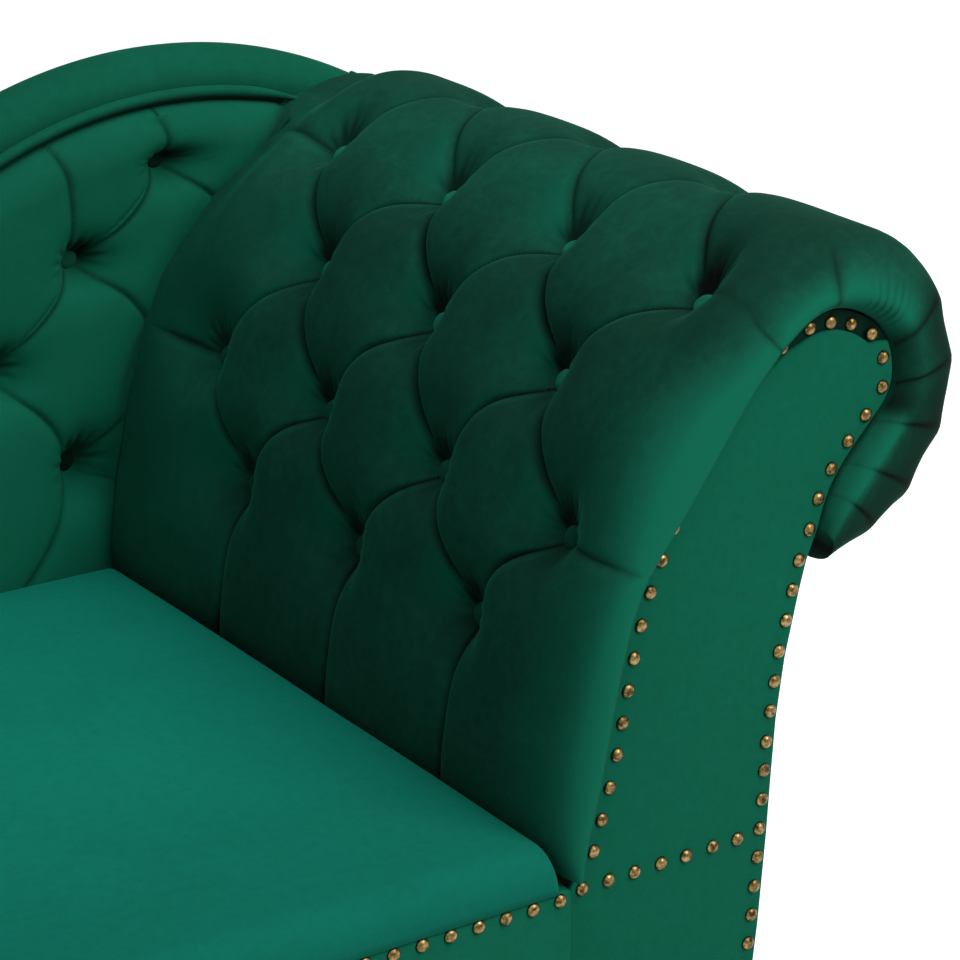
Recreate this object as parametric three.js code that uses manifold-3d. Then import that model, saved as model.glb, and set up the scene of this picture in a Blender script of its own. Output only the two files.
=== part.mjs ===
// A fainting couch with one rolled, button-tufted arm and a tufted back that sweeps down to the foot.
// Units are millimetres. +X points to the head end, +Y to the back and +Z up.
// Pieces are drawn around the corner where the seat's nail row meets the arm, and the whole couch is
// then moved so that its origin is the middle of its footprint on the floor.
import * as THREE from 'three';
import { mergeVertices } from 'three/addons/utils/BufferGeometryUtils.js';
import Module from 'manifold-3d';

const wasm = await Module();
wasm.setup();

// Overall sizes
const seatRowHeight = 385; // floor to the nail row on the seat border
const legHeight = 150;
const seatLength = 1340; // foot end to the foot of the arm
const frameDepth = 686; // front facing to the outside back
const backPadDepth = 86; // crest of the back pad to the outside back
const seatDepth = frameDepth - backPadDepth;

// Clearances
const fitGap = 0.3; // between pieces that rest on each other
const softGap = 1.5; // between soft pieces
const cutOverrun = 5; // how far a cutting tool runs past what it cuts

// Boards and rails
const boardThickness = 25;
const backBoardThickness = 18;
const braceHeight = 100;
const innerRailHeight = 60;
const deckThickness = 4;
const skinThickness = 6; // a covered panel: card, wadding and velvet

// Arm scroll
const scrollReach = 250; // foot of the arm to the outermost wood
const scrollHeight = 360; // nail row to the top of the wood
const armFrontBulge = 12; // pad past the front facing
const armEdgeRounding = 36;
const armPadRearInset = 45; // rear end of the arm pad to the outside back
const armPadRear = frameDepth - armPadRearInset;

// Buttons and tufts
const armFirstButtonInset = 74; // front facing to the first button of the longer rows
const armLastButtonInset = 117; // last button to the rear end of the pad
const armPitches = 3; // from the first to the last button of the longer rows
const armPitch = (armPadRear - armFirstButtonInset - armLastButtonInset) / armPitches;
const backPitch = 150; // between buttons in a row of the back
const buttonRadius = 8.5;
const buttonThickness = 6;
const twineRadius = 1.2;
const twineHoleRadius = 2.2;
const twineSides = 4;
const twineSlack = 4; // twine behind the boards

// Back
const humpRadius = 370; // middle line of the top roll over the hump
const humpCentreX = 60;
const humpOverArm = 16.2; // top of the roll over the crest of the arm
const lowRollHeight = 170; // middle line of the top roll at the low end
const lowRollLength = 830; // foot of the arm to where the low stretch turns down
const rollEndRadius = 70;
const rollRadius = 30;
const rollInset = 14; // middle line of the top roll to the outside back
const rollY = frameDepth - rollInset;
const weltRadius = 5.75;
const weltInset = 6; // welt below the middle line of the roll
const backPadInset = 13; // top of the back pad below the middle line of the roll
const backCrest = 52; // back pad over its board, beside the seat
const backCrestTop = 42;
const backEdge = 16;
const backEdgeRounding = 34;
const backDimple = 8;
const backButtonSeat = 15; // a button over the bottom of its dimple
const backColumnX = -34; // a button column of the back's lowest row
const backRowShares = { first: 0.2947, second: 0.5263, third: 0.7237, fourth: 0.9026 };

// Seat
const seatOverhang = 8; // seat past the front facing
const seatPadRise = 30; // nail row to the seat's edge
const seatCrown = 12;
const seatEdgeRounding = 24;
const seatCoverThickness = 2.5;
const seatSideGap = 10; // seat end to the foot of the arm
const borderProud = 6; // seat border past the front facing
const borderSeam = 12; // vertical seam beside the arm facing
const webbingWidth = 50;
const webbingThickness = 2.4;
const lengthStraps = 4;
const crossStraps = 6;
const dustThickness = 1;

// Legs and fixings
const legTopRadius = 30;
const legFootRadius = 15;
const cornerBlockSize = 80;
const cornerBlockHeight = 60;
const boltRadius = 4;
const boltHoleRadius = 4.4;
const boltInLeg = 40;
const boltNutRadius = 8;
const boltNutHeight = 6;

// Heights measured from the nail row
const floorZ = -seatRowHeight;
const railBottomZ = legHeight - seatRowHeight;
const webTopZ = fitGap + webbingThickness;
const seatBottomZ = 2 * (fitGap + webbingThickness) + fitGap;

// Places along the depth
const boardFrontY = skinThickness + fitGap;
const boardBackY = boardFrontY + boardThickness;
const backBoardY = frameDepth - skinThickness - fitGap - boardThickness;
const rearBoardY = backBoardY - fitGap - boardThickness;
const frameFootX = -seatLength + skinThickness + fitGap;

// Finishes
const finish = (color, roughness, metalness) =>
  new THREE.MeshStandardMaterial({ color, roughness, metalness });
const velvet = () => finish(0x0f6650, 0.85, 0);
const frameWood = () => finish(0xc9a877, 0.7, 0);
const plywood = () => finish(0xbf9c6c, 0.75, 0);
const legWood = () => finish(0x2a1a12, 0.4, 0);
const webbing = () => finish(0xb9a98a, 0.9, 0);
const foam = () => finish(0xe6dcb4, 0.95, 0);
const steel = () => finish(0x9a9ea3, 0.35, 0.9);
const twineFinish = () => finish(0x14523f, 0.8, 0);
const dustCloth = () => finish(0x1b1b1c, 0.95, 0);

const couch = new THREE.Group();

// Adds a named piece to the couch
function addPiece(name, geometry, material) {
  const piece = new THREE.Mesh(geometry, material);
  piece.name = name;
  couch.add(piece);
  return piece;
}

// Turns a closed geometry into a solid for cutting and joining
function solidFrom(geometry) {
  const bare = geometry.clone();
  bare.deleteAttribute('normal');
  bare.deleteAttribute('uv');
  const merged = mergeVertices(bare);
  return new wasm.Manifold(
    new wasm.Mesh({
      numProp: 3,
      vertProperties: new Float32Array(merged.attributes.position.array),
      triVerts: new Uint32Array(merged.index.array),
    }),
  );
}

// Turns a solid back into a geometry
function geometryFrom(solid) {
  const mesh = solid.getMesh();
  const geometry = new THREE.BufferGeometry();
  geometry.setAttribute('position', new THREE.BufferAttribute(new Float32Array(mesh.vertProperties), 3));
  geometry.setIndex(new THREE.BufferAttribute(new Uint32Array(mesh.triVerts), 1));
  geometry.computeVertexNormals();
  return geometry;
}

// Cuts the tools out of a geometry
function cutBy(geometry, tools) {
  let solid = solidFrom(geometry);
  for (const tool of tools) {
    solid = solid.subtract(solidFrom(tool));
  }
  return geometryFrom(solid);
}

// Joins geometries that overlap into one
function joinAll(parts) {
  let solid = solidFrom(parts[0]);
  for (const part of parts.slice(1)) {
    solid = solid.add(solidFrom(part));
  }
  return geometryFrom(solid);
}

// A block between two corners
function block(lowX, highX, lowY, highY, lowZ, highZ) {
  const geometry = new THREE.BoxGeometry(highX - lowX, highY - lowY, highZ - lowZ);
  geometry.translate((lowX + highX) / 2, (lowY + highY) / 2, (lowZ + highZ) / 2);
  return geometry;
}

// A board drawn in the X-Z plane and given a thickness along Y
function boardFrom(outline, frontY, backY) {
  const shape = new THREE.Shape(outline.map((p) => new THREE.Vector2(p.x, p.y)));
  const geometry = new THREE.ExtrudeGeometry(shape, { depth: backY - frontY, bevelEnabled: false });
  geometry.rotateX(Math.PI / 2);
  geometry.translate(0, backY, 0);
  return geometry;
}

// A round bar between two points
function bar(start, end, radius, sides) {
  const along = new THREE.Vector3().subVectors(end, start);
  const geometry = new THREE.CylinderGeometry(radius, radius, along.length(), sides);
  const standing = new THREE.Vector3(0, 1, 0);
  const turn = new THREE.Quaternion().setFromUnitVectors(standing, along.clone().normalize());
  geometry.applyQuaternion(turn);
  const middle = new THREE.Vector3().addVectors(start, end).multiplyScalar(0.5);
  geometry.translate(middle.x, middle.y, middle.z);
  return geometry;
}

// A round tube of one radius along a path of points
function tubeAlong(points, radius, sides, steps) {
  const path = new THREE.CatmullRomCurve3(points, false, 'centripetal');
  const circle = new THREE.Shape();
  for (let i = 0; i < sides; i += 1) {
    const angle = (i / sides) * Math.PI * 2;
    const corner = [radius * Math.cos(angle), radius * Math.sin(angle)];
    if (i === 0) {
      circle.moveTo(...corner);
    } else {
      circle.lineTo(...corner);
    }
  }
  circle.closePath();
  return new THREE.ExtrudeGeometry(circle, {
    steps,
    extrudePath: path,
    bevelEnabled: false,
    curveSegments: 1,
  });
}

// A closed padded solid: a fine outer sheet over a plain inner one that follows it row by row.
// Each outer cell is split along the tuft's crease that crosses it.
function paddedSolid(rows, columns, outerAt, innerAt, leansRight) {
  const positions = [];
  const outer = (i, j) => i * (columns + 1) + j;
  const inner = (i, side) => (rows + 1) * (columns + 1) + i * 2 + side;
  for (let i = 0; i <= rows; i += 1) {
    for (let j = 0; j <= columns; j += 1) {
      positions.push(...outerAt(i, j));
    }
  }
  for (let i = 0; i <= rows; i += 1) {
    positions.push(...innerAt(i, 0));
    positions.push(...innerAt(i, columns));
  }
  const faces = [];
  for (let i = 0; i < rows; i += 1) {
    for (let j = 0; j < columns; j += 1) {
      const [a, b, c, d] = [outer(i, j), outer(i + 1, j), outer(i + 1, j + 1), outer(i, j + 1)];
      if (leansRight(i, j)) {
        faces.push(a, b, c, a, c, d);
      } else {
        faces.push(a, b, d, b, c, d);
      }
    }
    faces.push(inner(i, 0), inner(i, 1), inner(i + 1, 1), inner(i, 0), inner(i + 1, 1), inner(i + 1, 0));
    faces.push(outer(i, 0), inner(i, 0), inner(i + 1, 0), outer(i, 0), inner(i + 1, 0), outer(i + 1, 0));
    faces.push(outer(i, columns), outer(i + 1, columns), inner(i + 1, 1));
    faces.push(outer(i, columns), inner(i + 1, 1), inner(i, 1));
  }
  for (let j = 0; j < columns; j += 1) {
    faces.push(outer(0, j), outer(0, j + 1), inner(0, 0));
    faces.push(outer(rows, j), inner(rows, 0), outer(rows, j + 1));
  }
  faces.push(outer(0, columns), inner(0, 1), inner(0, 0));
  faces.push(outer(rows, columns), inner(rows, 0), inner(rows, 1));
  const geometry = new THREE.BufferGeometry();
  geometry.setAttribute('position', new THREE.Float32BufferAttribute(positions, 3));
  geometry.setIndex(faces);
  geometry.computeVertexNormals();
  return geometry;
}

const clamp = THREE.MathUtils.clamp;
const lerp = THREE.MathUtils.lerp;

// Smooth value of a row of numbers at a place between them
function smoothAt(values, place) {
  const last = values.length - 1;
  const t = clamp(place, 0, last);
  const i = Math.min(Math.floor(t), last - 1);
  const before = values[Math.max(i - 1, 0)];
  const after = values[Math.min(i + 2, last)];
  const f = t - i;
  const slopeIn = (values[i + 1] - before) / 2;
  const slopeOut = (after - values[i]) / 2;
  const f2 = f * f;
  const f3 = f2 * f;
  return (
    values[i] * (2 * f3 - 3 * f2 + 1) +
    slopeIn * (f3 - 2 * f2 + f) +
    values[i + 1] * (3 * f2 - 2 * f3) +
    slopeOut * (f3 - f2)
  );
}

// Arm scroll: the wood's edge and the pad's crest over it, from the seat over the head to the neck.
// Each row is wood x, wood z, crest x, crest z, as shares of the scroll's reach and rise.
const scrollShares = [
  [-0.016, 0.03, -0.064, 0.033],
  [0.012, 0.09, -0.092, 0.1],
  [0.064, 0.22, -0.076, 0.239],
  [0.096, 0.33, -0.044, 0.356],
  [0.128, 0.44, -0.008, 0.467],
  [0.168, 0.545, 0.036, 0.572],
  [0.224, 0.633, 0.088, 0.667],
  [0.308, 0.73, 0.16, 0.78],
  [0.4, 0.822, 0.256, 0.88],
  [0.496, 0.908, 0.372, 0.97],
  [0.6, 0.972, 0.512, 1.047],
  [0.712, 1.005, 0.672, 1.105],
  [0.824, 1.005, 0.848, 1.13],
  [0.924, 0.975, 1.02, 1.097],
  [0.984, 0.928, 1.148, 1.022],
  [1.004, 0.867, 1.22, 0.922],
  [0.988, 0.82, 1.232, 0.817],
  [0.94, 0.78, 1.204, 0.728],
  [0.88, 0.736, 1.14, 0.655],
  [0.828, 0.692, 1.048, 0.594],
  [0.792, 0.647, 0.92, 0.553],
  [0.768, 0.594, 0.792, 0.528],
];
const neckPlace = scrollShares.length - 1;
const armCrestHeight = Math.max(...scrollShares.map((row) => row[3])) * scrollHeight;
const humpCentreHeight = armCrestHeight + humpOverArm - humpRadius - rollRadius;

// Outer edge of the arm below its neck, as shares of the reach and rise
const outerShares = [
  [0.733, 0.534],
  [0.709, 0.471],
  [0.669, 0.347],
  [0.645, 0.226],
  [0.633, 0.099],
  [0.625, -0.006],
];
const outerFootShares = [
  [0.604, 0.3],
  [0.562, 0.7],
  [0.536, 1],
];

// A point of the wood's edge
function woodAt(place) {
  const x = smoothAt(scrollShares.map((row) => row[0]), place) * scrollReach;
  const z = smoothAt(scrollShares.map((row) => row[1]), place) * scrollHeight;
  return new THREE.Vector2(x, z);
}

// A point of the pad's crest
function crestAt(place) {
  const x = smoothAt(scrollShares.map((row) => row[2]), place) * scrollReach;
  const z = smoothAt(scrollShares.map((row) => row[3]), place) * scrollHeight;
  return new THREE.Vector2(x, z);
}

// Where each crossing line of the tufts lies along the scroll: the rows of buttons are lines 1 to 6
const tuftLinePlaces = [1.35, 3.45, 5.6, 7.95, 10.05, 12.75, 15.7, 18.6];
const tuftLineStart = 0.64; // lines before line 0 where the pad begins
const tuftLineEnd = 0.8; // lines after line 7 where the pad ends
const armButtonLines = 6;
const lastTuftLine = tuftLinePlaces.length - 1;

// Place along the scroll of a line number, which may lie between two lines
function linePlace(line) {
  if (line < 0) {
    return tuftLinePlaces[0] * (1 + line / tuftLineStart);
  }
  if (line > lastTuftLine) {
    return lerp(tuftLinePlaces[lastTuftLine], neckPlace, (line - lastTuftLine) / tuftLineEnd);
  }
  const i = Math.min(Math.floor(line), lastTuftLine - 1);
  return lerp(tuftLinePlaces[i], tuftLinePlaces[i + 1], line - i);
}

const tuftFullness = 0.45; // a lower power gives fuller tufts with tighter creases

// Height of a diamond tuft, 0 on its creases and 1 at its crest
function pillow(across, line) {
  const up = Math.sin((Math.PI * (across + line)) / 2);
  const down = Math.sin((Math.PI * (across - line)) / 2);
  return Math.abs(up * down) ** tuftFullness;
}

const tuftSpread = 0.1; // how far a button's pull reaches, in squared half pitches

// How near a place is to a button, 1 on it
function buttonNearness(across, line) {
  const near = (value) => value - Math.round(value);
  const isButton = (Math.round(across) + Math.round(line)) % 2 === 0;
  return isButton ? Math.exp(-(near(across) ** 2 + near(line) ** 2) / tuftSpread) : 0;
}

// Rows of the arm pad's grid, four cells to each tuft line
const cellsPerTuft = 4;
const armLowCells = 2;
const armHighCells = 2;
const armPadRows = armLowCells + (armButtonLines - 1) * cellsPerTuft + armHighCells;

function armRowLine(i) {
  if (i < armLowCells) {
    return lerp(-tuftLineStart, 1, i / armLowCells);
  }
  const k = (i - armLowCells) / cellsPerTuft;
  if (k <= armButtonLines - 1) {
    return 1 + k;
  }
  const past = i - armLowCells - (armButtonLines - 1) * cellsPerTuft;
  return lerp(armButtonLines, lastTuftLine + tuftLineEnd, past / armHighCells);
}

const scrollPlaces = Array.from({ length: armPadRows + 1 }, (_, i) => linePlace(armRowLine(i)));

const outlineStep = 0.05; // places to each side that give the outline's direction

// The outline of the wood from the seat to the neck, moved in by an inset
function woodOutline(inset) {
  const points = [];
  for (const place of scrollPlaces) {
    const before = woodAt(Math.max(place - outlineStep, 0));
    const after = woodAt(Math.min(place + outlineStep, neckPlace));
    const along = after.sub(before).normalize();
    const at = woodAt(place);
    points.push(new THREE.Vector2(at.x + along.y * inset, at.y - along.x * inset));
  }
  return points;
}

// The outer edge of the arm from the neck to the rail's bottom, moved in by an inset
function outerOutline(inset) {
  const neck = [woodAt(neckPlace).x, woodAt(neckPlace).y];
  const upper = outerShares.map(([x, z]) => [x * scrollReach, z * scrollHeight]);
  const foot = outerFootShares.map(([x, z]) => [x * scrollReach, z * railBottomZ]);
  return [neck, ...upper, ...foot].map(([x, z]) => new THREE.Vector2(x - inset, z));
}

const innerFootX = -scrollReach * 0.024;

// The arm's board outline: inner foot, scroll, outer edge and outer foot
function armOutline(inset, innerX) {
  const scroll = woodOutline(inset);
  const lower = outerOutline(inset).slice(1);
  const inner = [new THREE.Vector2(innerX, railBottomZ), new THREE.Vector2(innerX, scroll[0].y)];
  return [...inner, ...scroll, ...lower];
}

// Middle line of the back's top roll, moved in towards the board by an inset.
// It runs from behind the arm over the hump, down the sweep and along the low end to the rail.
const rollStartAngle = 0.53; // radians past the hump's top, behind the arm
const weltStartAngle = 0.168; // the welt ends where it meets the arm pad
const sweepAngle = Math.PI / 4;
const sweepRadius =
  (humpCentreHeight + humpRadius * Math.cos(sweepAngle) - lowRollHeight) / (1 - Math.cos(sweepAngle));
const sweepX = humpCentreX - (humpRadius + sweepRadius) * Math.sin(sweepAngle);
const sweepRise = humpCentreHeight + (humpRadius + sweepRadius) * Math.cos(sweepAngle);

function rollLine(inset, arcSteps, startAngle) {
  const points = [];
  for (let i = 0; i <= arcSteps; i += 1) {
    const angle = lerp(startAngle, -sweepAngle, i / arcSteps);
    const radius = humpRadius - inset;
    points.push([humpCentreX + radius * Math.sin(angle), humpCentreHeight + radius * Math.cos(angle)]);
  }
  for (let i = 1; i <= arcSteps; i += 1) {
    const angle = lerp(sweepAngle, 0, i / arcSteps);
    const radius = sweepRadius + inset;
    points.push([sweepX + radius * Math.sin(angle), sweepRise - radius * Math.cos(angle)]);
  }
  const lowZ = sweepRise - sweepRadius - inset;
  for (let i = 0; i <= 4; i += 1) {
    const angle = (i / 4) * (Math.PI / 2);
    const radius = rollEndRadius - inset;
    const x = -lowRollLength - radius * Math.sin(angle);
    points.push([x, lowZ - (rollEndRadius - inset) * (1 - Math.cos(angle))]);
  }
  const endX = -lowRollLength - rollEndRadius + inset;
  points.push([endX, fitGap]);
  return points;
}

const rollSteps = 36;
const rollSides = 10;
const rollPath = rollLine(0, 10, rollStartAngle).map(([x, z]) => new THREE.Vector3(x, rollY, z));
const backTopRoll = tubeAlong(rollPath, rollRadius, rollSides, rollSteps);
const rollCut = tubeAlong(rollPath, rollRadius + fitGap * 3, rollSides, rollSteps);
const weltY = rollY - Math.sqrt((rollRadius + weltRadius + fitGap * 2) ** 2 - weltInset ** 2);
const weltPath = rollLine(weltInset, 10, weltStartAngle).map(([x, z]) => new THREE.Vector3(x, weltY, z));
const weltEndClear = seatBottomZ + seatPadRise + softGap * 2;
weltPath[weltPath.length - 1].z = weltEndClear;
const weltSides = 6;
const backWelt = tubeAlong(weltPath, weltRadius, weltSides, rollSteps);
const weltCut = tubeAlong(weltPath, weltRadius + fitGap * 2, weltSides, rollSteps);

// Arm frame
const boardInset = deckThickness + fitGap;
const boardInnerX = innerFootX + boardInset;
const frontBoard = boardFrom(armOutline(boardInset, boardInnerX), boardFrontY, boardBackY);
addPiece('arm_front_scroll_board', frontBoard, plywood());
const rearBoard = boardFrom(armOutline(boardInset, boardInnerX), rearBoardY, rearBoardY + boardThickness);
addPiece('arm_rear_scroll_board', cutBy(rearBoard, [rollCut]), plywood());

const betweenBoardsFront = boardBackY + fitGap;
const betweenBoardsBack = rearBoardY - fitGap;
const innerRailTopZ = 0;
addPiece(
  'arm_inner_rail',
  block(
    boardInnerX,
    boardInnerX + boardThickness,
    betweenBoardsFront,
    betweenBoardsBack,
    innerRailTopZ - innerRailHeight,
    innerRailTopZ,
  ),
  frameWood(),
);
const outerFootX = outerFootShares[2][0] * scrollReach;
const headRailX = outerFootX - boardInset - boardThickness;
addPiece(
  'head_end_rail',
  block(headRailX, headRailX + boardThickness, betweenBoardsFront, betweenBoardsBack, railBottomZ, 0),
  frameWood(),
);

// The neck rail lies inside the narrow of the scroll and ties the two boards
const neckRailTop = woodAt(neckPlace).y;
const neckRailX = outerShares[1][0] * scrollReach - boardInset - boardThickness;
addPiece(
  'arm_neck_rail',
  block(
    neckRailX,
    neckRailX + boardThickness,
    betweenBoardsFront,
    betweenBoardsBack,
    outerShares[1][1] * scrollHeight,
    neckRailTop,
  ),
  frameWood(),
);

// Deck that the arm pad lies on, bent over the boards from the seat to the neck
const deckOuter = woodOutline(0);
const deckInner = woodOutline(deckThickness).reverse();
const deckBackY = armPadRear;
const deckPlain = boardFrom([...deckOuter, ...deckInner], boardFrontY, deckBackY);

// Direction from the wood to the crest at a place along the scroll
function padDirection(place) {
  const wood = woodAt(place);
  const crest = crestAt(place);
  const flat = crest.clone().sub(wood).normalize();
  return new THREE.Vector3(flat.x, 0, flat.y);
}

// A point of the arm pad at a share of its thickness
function padPoint(place, y, share) {
  const wood = woodAt(place);
  const crest = crestAt(place);
  return new THREE.Vector3(lerp(wood.x, crest.x, share), y, lerp(wood.y, crest.y, share));
}

const armHalfPitch = armPitch / 2;
const armColumns = armPitches * 2; // half pitches between the first and last button
const armButtonShares = [0.1, 0.1, 0.12, 0.14, 0.16, 0.16]; // pad left under each row's buttons
const armButtonSeatShare = 0.26; // a button over the bottom of its dimple
const armInnerShare = 0.03;
const armEdgeShare = 0.4;
const armCreaseShare = 0.5;

// Share of the pad's thickness at a place
function armPadShare(y, line) {
  const across = (y - armFirstButtonInset) / armHalfPitch;
  const acrossIn = clamp(across, 0, armColumns);
  const lineIn = clamp(line, 1, armButtonLines);
  const low = armButtonShares[clamp(Math.round(lineIn) - 1, 0, armButtonLines - 1)];
  const crease = lerp(armCreaseShare, low, buttonNearness(across, line));
  const share = lerp(crease, 1, pillow(acrossIn, lineIn));
  const edge = clamp((y + armFrontBulge) / armEdgeRounding, 0, 1);
  return lerp(armEdgeShare, share, Math.sqrt(1 - (1 - edge) ** 2));
}

// Columns of the arm pad's grid
const armFrontCells = 2;
const armRearCells = 1;
const armPadColumns = armFrontCells + armColumns * cellsPerTuft + armRearCells;
const armPadFront = -armFrontBulge;
const armLastButton = armFirstButtonInset + armColumns * armHalfPitch;

function armColumnY(j) {
  if (j < armFrontCells) {
    return lerp(armPadFront, armFirstButtonInset, (j / armFrontCells) ** 1.6);
  }
  const k = (j - armFrontCells) / cellsPerTuft;
  if (k <= armColumns) {
    return armFirstButtonInset + k * armHalfPitch;
  }
  return lerp(armLastButton, armPadRear, (j - armFrontCells - armColumns * cellsPerTuft) / armRearCells);
}

const armPadBody = paddedSolid(
  armPadRows,
  armPadColumns,
  (i, j) => {
    const line = armRowLine(i);
    const y = armColumnY(j);
    return padPoint(linePlace(line), y, armPadShare(y, line)).toArray();
  },
  (i, j) => padPoint(linePlace(armRowLine(i)), armColumnY(j), armInnerShare).toArray(),
  (i, j) => {
    const across = Math.floor((armColumnY(j) - armFirstButtonInset) / armHalfPitch + 0.01);
    const line = Math.floor(armRowLine(i) + 0.01);
    return (across + line) % 2 === 0;
  },
);

// Buttons with the twine that holds them. All buttons of one row hang on one length of twine.
function button(at, direction) {
  const domeSteps = 2;
  const profile = [new THREE.Vector2(0, 0), new THREE.Vector2(buttonRadius * 0.8, 0)];
  for (let i = 0; i <= domeSteps; i += 1) {
    const angle = (i / domeSteps) * (Math.PI / 2);
    const height = buttonThickness * (0.35 + 0.65 * Math.sin(angle));
    profile.push(new THREE.Vector2(i === domeSteps ? 0 : buttonRadius * Math.cos(angle), height));
  }
  const geometry = new THREE.LatheGeometry(profile, 8);
  const turn = new THREE.Quaternion().setFromUnitVectors(new THREE.Vector3(0, 1, 0), direction);
  geometry.applyQuaternion(turn);
  geometry.translate(at.x, at.y, at.z);
  return geometry;
}

// A row of buttons: each seats at its point, and its twine runs back past the board
function buttonRow(seats, direction, depths) {
  const parts = [];
  const ends = seats.map((seat, i) => seat.clone().addScaledVector(direction, -depths[i]));
  seats.forEach((seat, i) => {
    const top = seat.clone().addScaledVector(direction, buttonThickness / 2);
    const knot = ends[i].clone().addScaledVector(direction, -twineRadius * 2);
    parts.push(button(seat, direction), bar(knot, top, twineRadius, twineSides));
  });
  if (ends.length > 1) {
    const along = new THREE.Vector3().subVectors(ends[ends.length - 1], ends[0]).normalize();
    const first = ends[0].clone().addScaledVector(along, -twineRadius * 3);
    const last = ends[ends.length - 1].clone().addScaledVector(along, twineRadius * 3);
    parts.push(bar(first, last, twineRadius * 1.3, 6));
  }
  return joinAll(parts);
}

// Holes for the twine of a row
function twineHoles(seats, direction, depth) {
  return seats.map((seat) => {
    const start = seat.clone().addScaledVector(direction, -depth - cutOverrun);
    const end = seat.clone().addScaledVector(direction, buttonThickness + cutOverrun);
    return bar(start, end, twineHoleRadius, twineSides);
  });
}

// Arm buttons
const armRowNames = ['first', 'second', 'third', 'fourth', 'fifth', 'sixth'];
const armHoles = [];
armRowNames.forEach((rowName, index) => {
  const line = index + 1;
  const place = linePlace(line);
  const direction = padDirection(place);
  const share = armButtonShares[index];
  const padThickness = woodAt(place).distanceTo(crestAt(place));
  const buttonSeat = padThickness * armButtonSeatShare;
  const seats = [];
  for (let k = line % 2; k <= armColumns; k += 2) {
    const seat = padPoint(place, armFirstButtonInset + k * armHalfPitch, share);
    seats.push(seat.addScaledVector(direction, buttonSeat));
  }
  const depth = padThickness * share + buttonSeat + deckThickness + twineSlack;
  armHoles.push(...twineHoles(seats, direction, depth));
  addPiece(`arm_button_row_${rowName}`, buttonRow(seats, direction, seats.map(() => depth)), twineFinish());
});
addPiece('arm_deck', cutBy(deckPlain, armHoles), plywood());
addPiece('arm_tufted_pad', cutBy(armPadBody, armHoles), velvet());

// Arm covers: the front facing and the outside panel
const facingFoot = -borderSeam + fitGap;
const facingOutline = [
  new THREE.Vector2(facingFoot, railBottomZ),
  new THREE.Vector2(facingFoot, 0),
  ...woodOutline(0),
  ...outerOutline(0).slice(1),
];
addPiece('arm_front_facing', boardFrom(facingOutline, 0, skinThickness), velvet());

const panelTop = woodAt(neckPlace).addScalar(-softGap);
const panelTopInner = new THREE.Vector2(panelTop.x - deckThickness + fitGap * 3, panelTop.y);
const outsidePanelOutline = [
  panelTop,
  ...outerOutline(0).slice(1),
  ...outerOutline(deckThickness).slice(1).reverse(),
  panelTopInner,
];
const outsidePanel = boardFrom(outsidePanelOutline, boardFrontY, rearBoardY + boardThickness);
addPiece('arm_outside_panel', outsidePanel, velvet());

// Back board with its outside panel.
// The board stops under the roll and takes the arm's shape behind the arm.
const boardUnderRoll = rollRadius + fitGap;
const armBackPlaces = [13.6, 14.4, 15.2, 16, 17, 18, 19, 20, 21];
const armBackShare = 0.6;

function backOutline(inset, bottomZ, footX) {
  const armSide = armBackPlaces.map((place) => {
    const at = padPoint(place, 0, armBackShare);
    return new THREE.Vector2(at.x, at.z);
  });
  const lower = outerOutline(0)
    .slice(1)
    .filter((point) => point.y > bottomZ);
  const rollSide = rollLine(inset, 8, rollStartAngle).map(([x, z]) => new THREE.Vector2(x, z));
  rollSide[rollSide.length - 1].y = bottomZ;
  const bottom = [];
  if (footX !== null) {
    rollSide[rollSide.length - 1].y = 0;
    bottom.push(new THREE.Vector2(footX, 0), new THREE.Vector2(footX, bottomZ));
    bottom.push(new THREE.Vector2(outerFootX, bottomZ));
  } else {
    bottom.push(new THREE.Vector2(lower[lower.length - 1].x, bottomZ));
  }
  return [...rollSide, ...bottom, ...lower.reverse(), ...armSide.reverse()].reverse();
}

const backBoardBackY = backBoardY + backBoardThickness;
const backBoardPlain = boardFrom(backOutline(boardUnderRoll, fitGap, null), backBoardY, backBoardBackY);
const outsideBack = boardFrom(
  backOutline(boardUnderRoll, railBottomZ, -seatLength),
  frameDepth - skinThickness,
  frameDepth,
);
addPiece('outside_back_panel', cutBy(outsideBack, [rollCut]), velvet());

// Back pad: a tufted sheet over the back board, cut to the board's outline
const backHalfPitch = backPitch / 2;
const backPadBottom = seatBottomZ + fitGap;
const backPadTopHeight = humpCentreHeight + humpRadius - backPadInset;
const backRowHeights = Object.values(backRowShares).map((share) => share * backPadTopHeight);

// Line number of a height on the back: the rows of buttons are lines 1 to 4
function backLine(z) {
  const knots = [0, ...backRowHeights, backPadTopHeight];
  let i = 0;
  while (i < knots.length - 2 && z > knots[i + 1]) {
    i += 1;
  }
  return i + (z - knots[i]) / (knots[i + 1] - knots[i]);
}

function backRise(line) {
  const knots = [0, ...backRowHeights, backPadTopHeight];
  const i = Math.min(Math.floor(line), knots.length - 2);
  return lerp(knots[i], knots[i + 1], line - i);
}

// Height of the back's tufts: diamonds below the line of topmost buttons, straight pleats above it
function backPillow(across, line) {
  const topLine = clamp(across + 2, 1, 4);
  if (line > topLine && across > -1 && across < 2) {
    const away = clamp(line - topLine, 0, 1);
    return Math.abs(Math.sin(Math.PI * across) * Math.sin((Math.PI * away) / 2)) ** tuftFullness;
  }
  return pillow(across, clamp(line, 1, topLine));
}

// Height of the roll's middle line over a place, which bounds the pad
function rollRiseAt(x) {
  if (x > humpCentreX - humpRadius * Math.sin(sweepAngle)) {
    return humpCentreHeight + Math.sqrt(humpRadius ** 2 - (x - humpCentreX) ** 2);
  }
  if (x > sweepX) {
    return sweepRise - Math.sqrt(sweepRadius ** 2 - (x - sweepX) ** 2);
  }
  return sweepRise - sweepRadius;
}

const backPadFootX = -lowRollLength - rollEndRadius + backPadInset;

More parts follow.
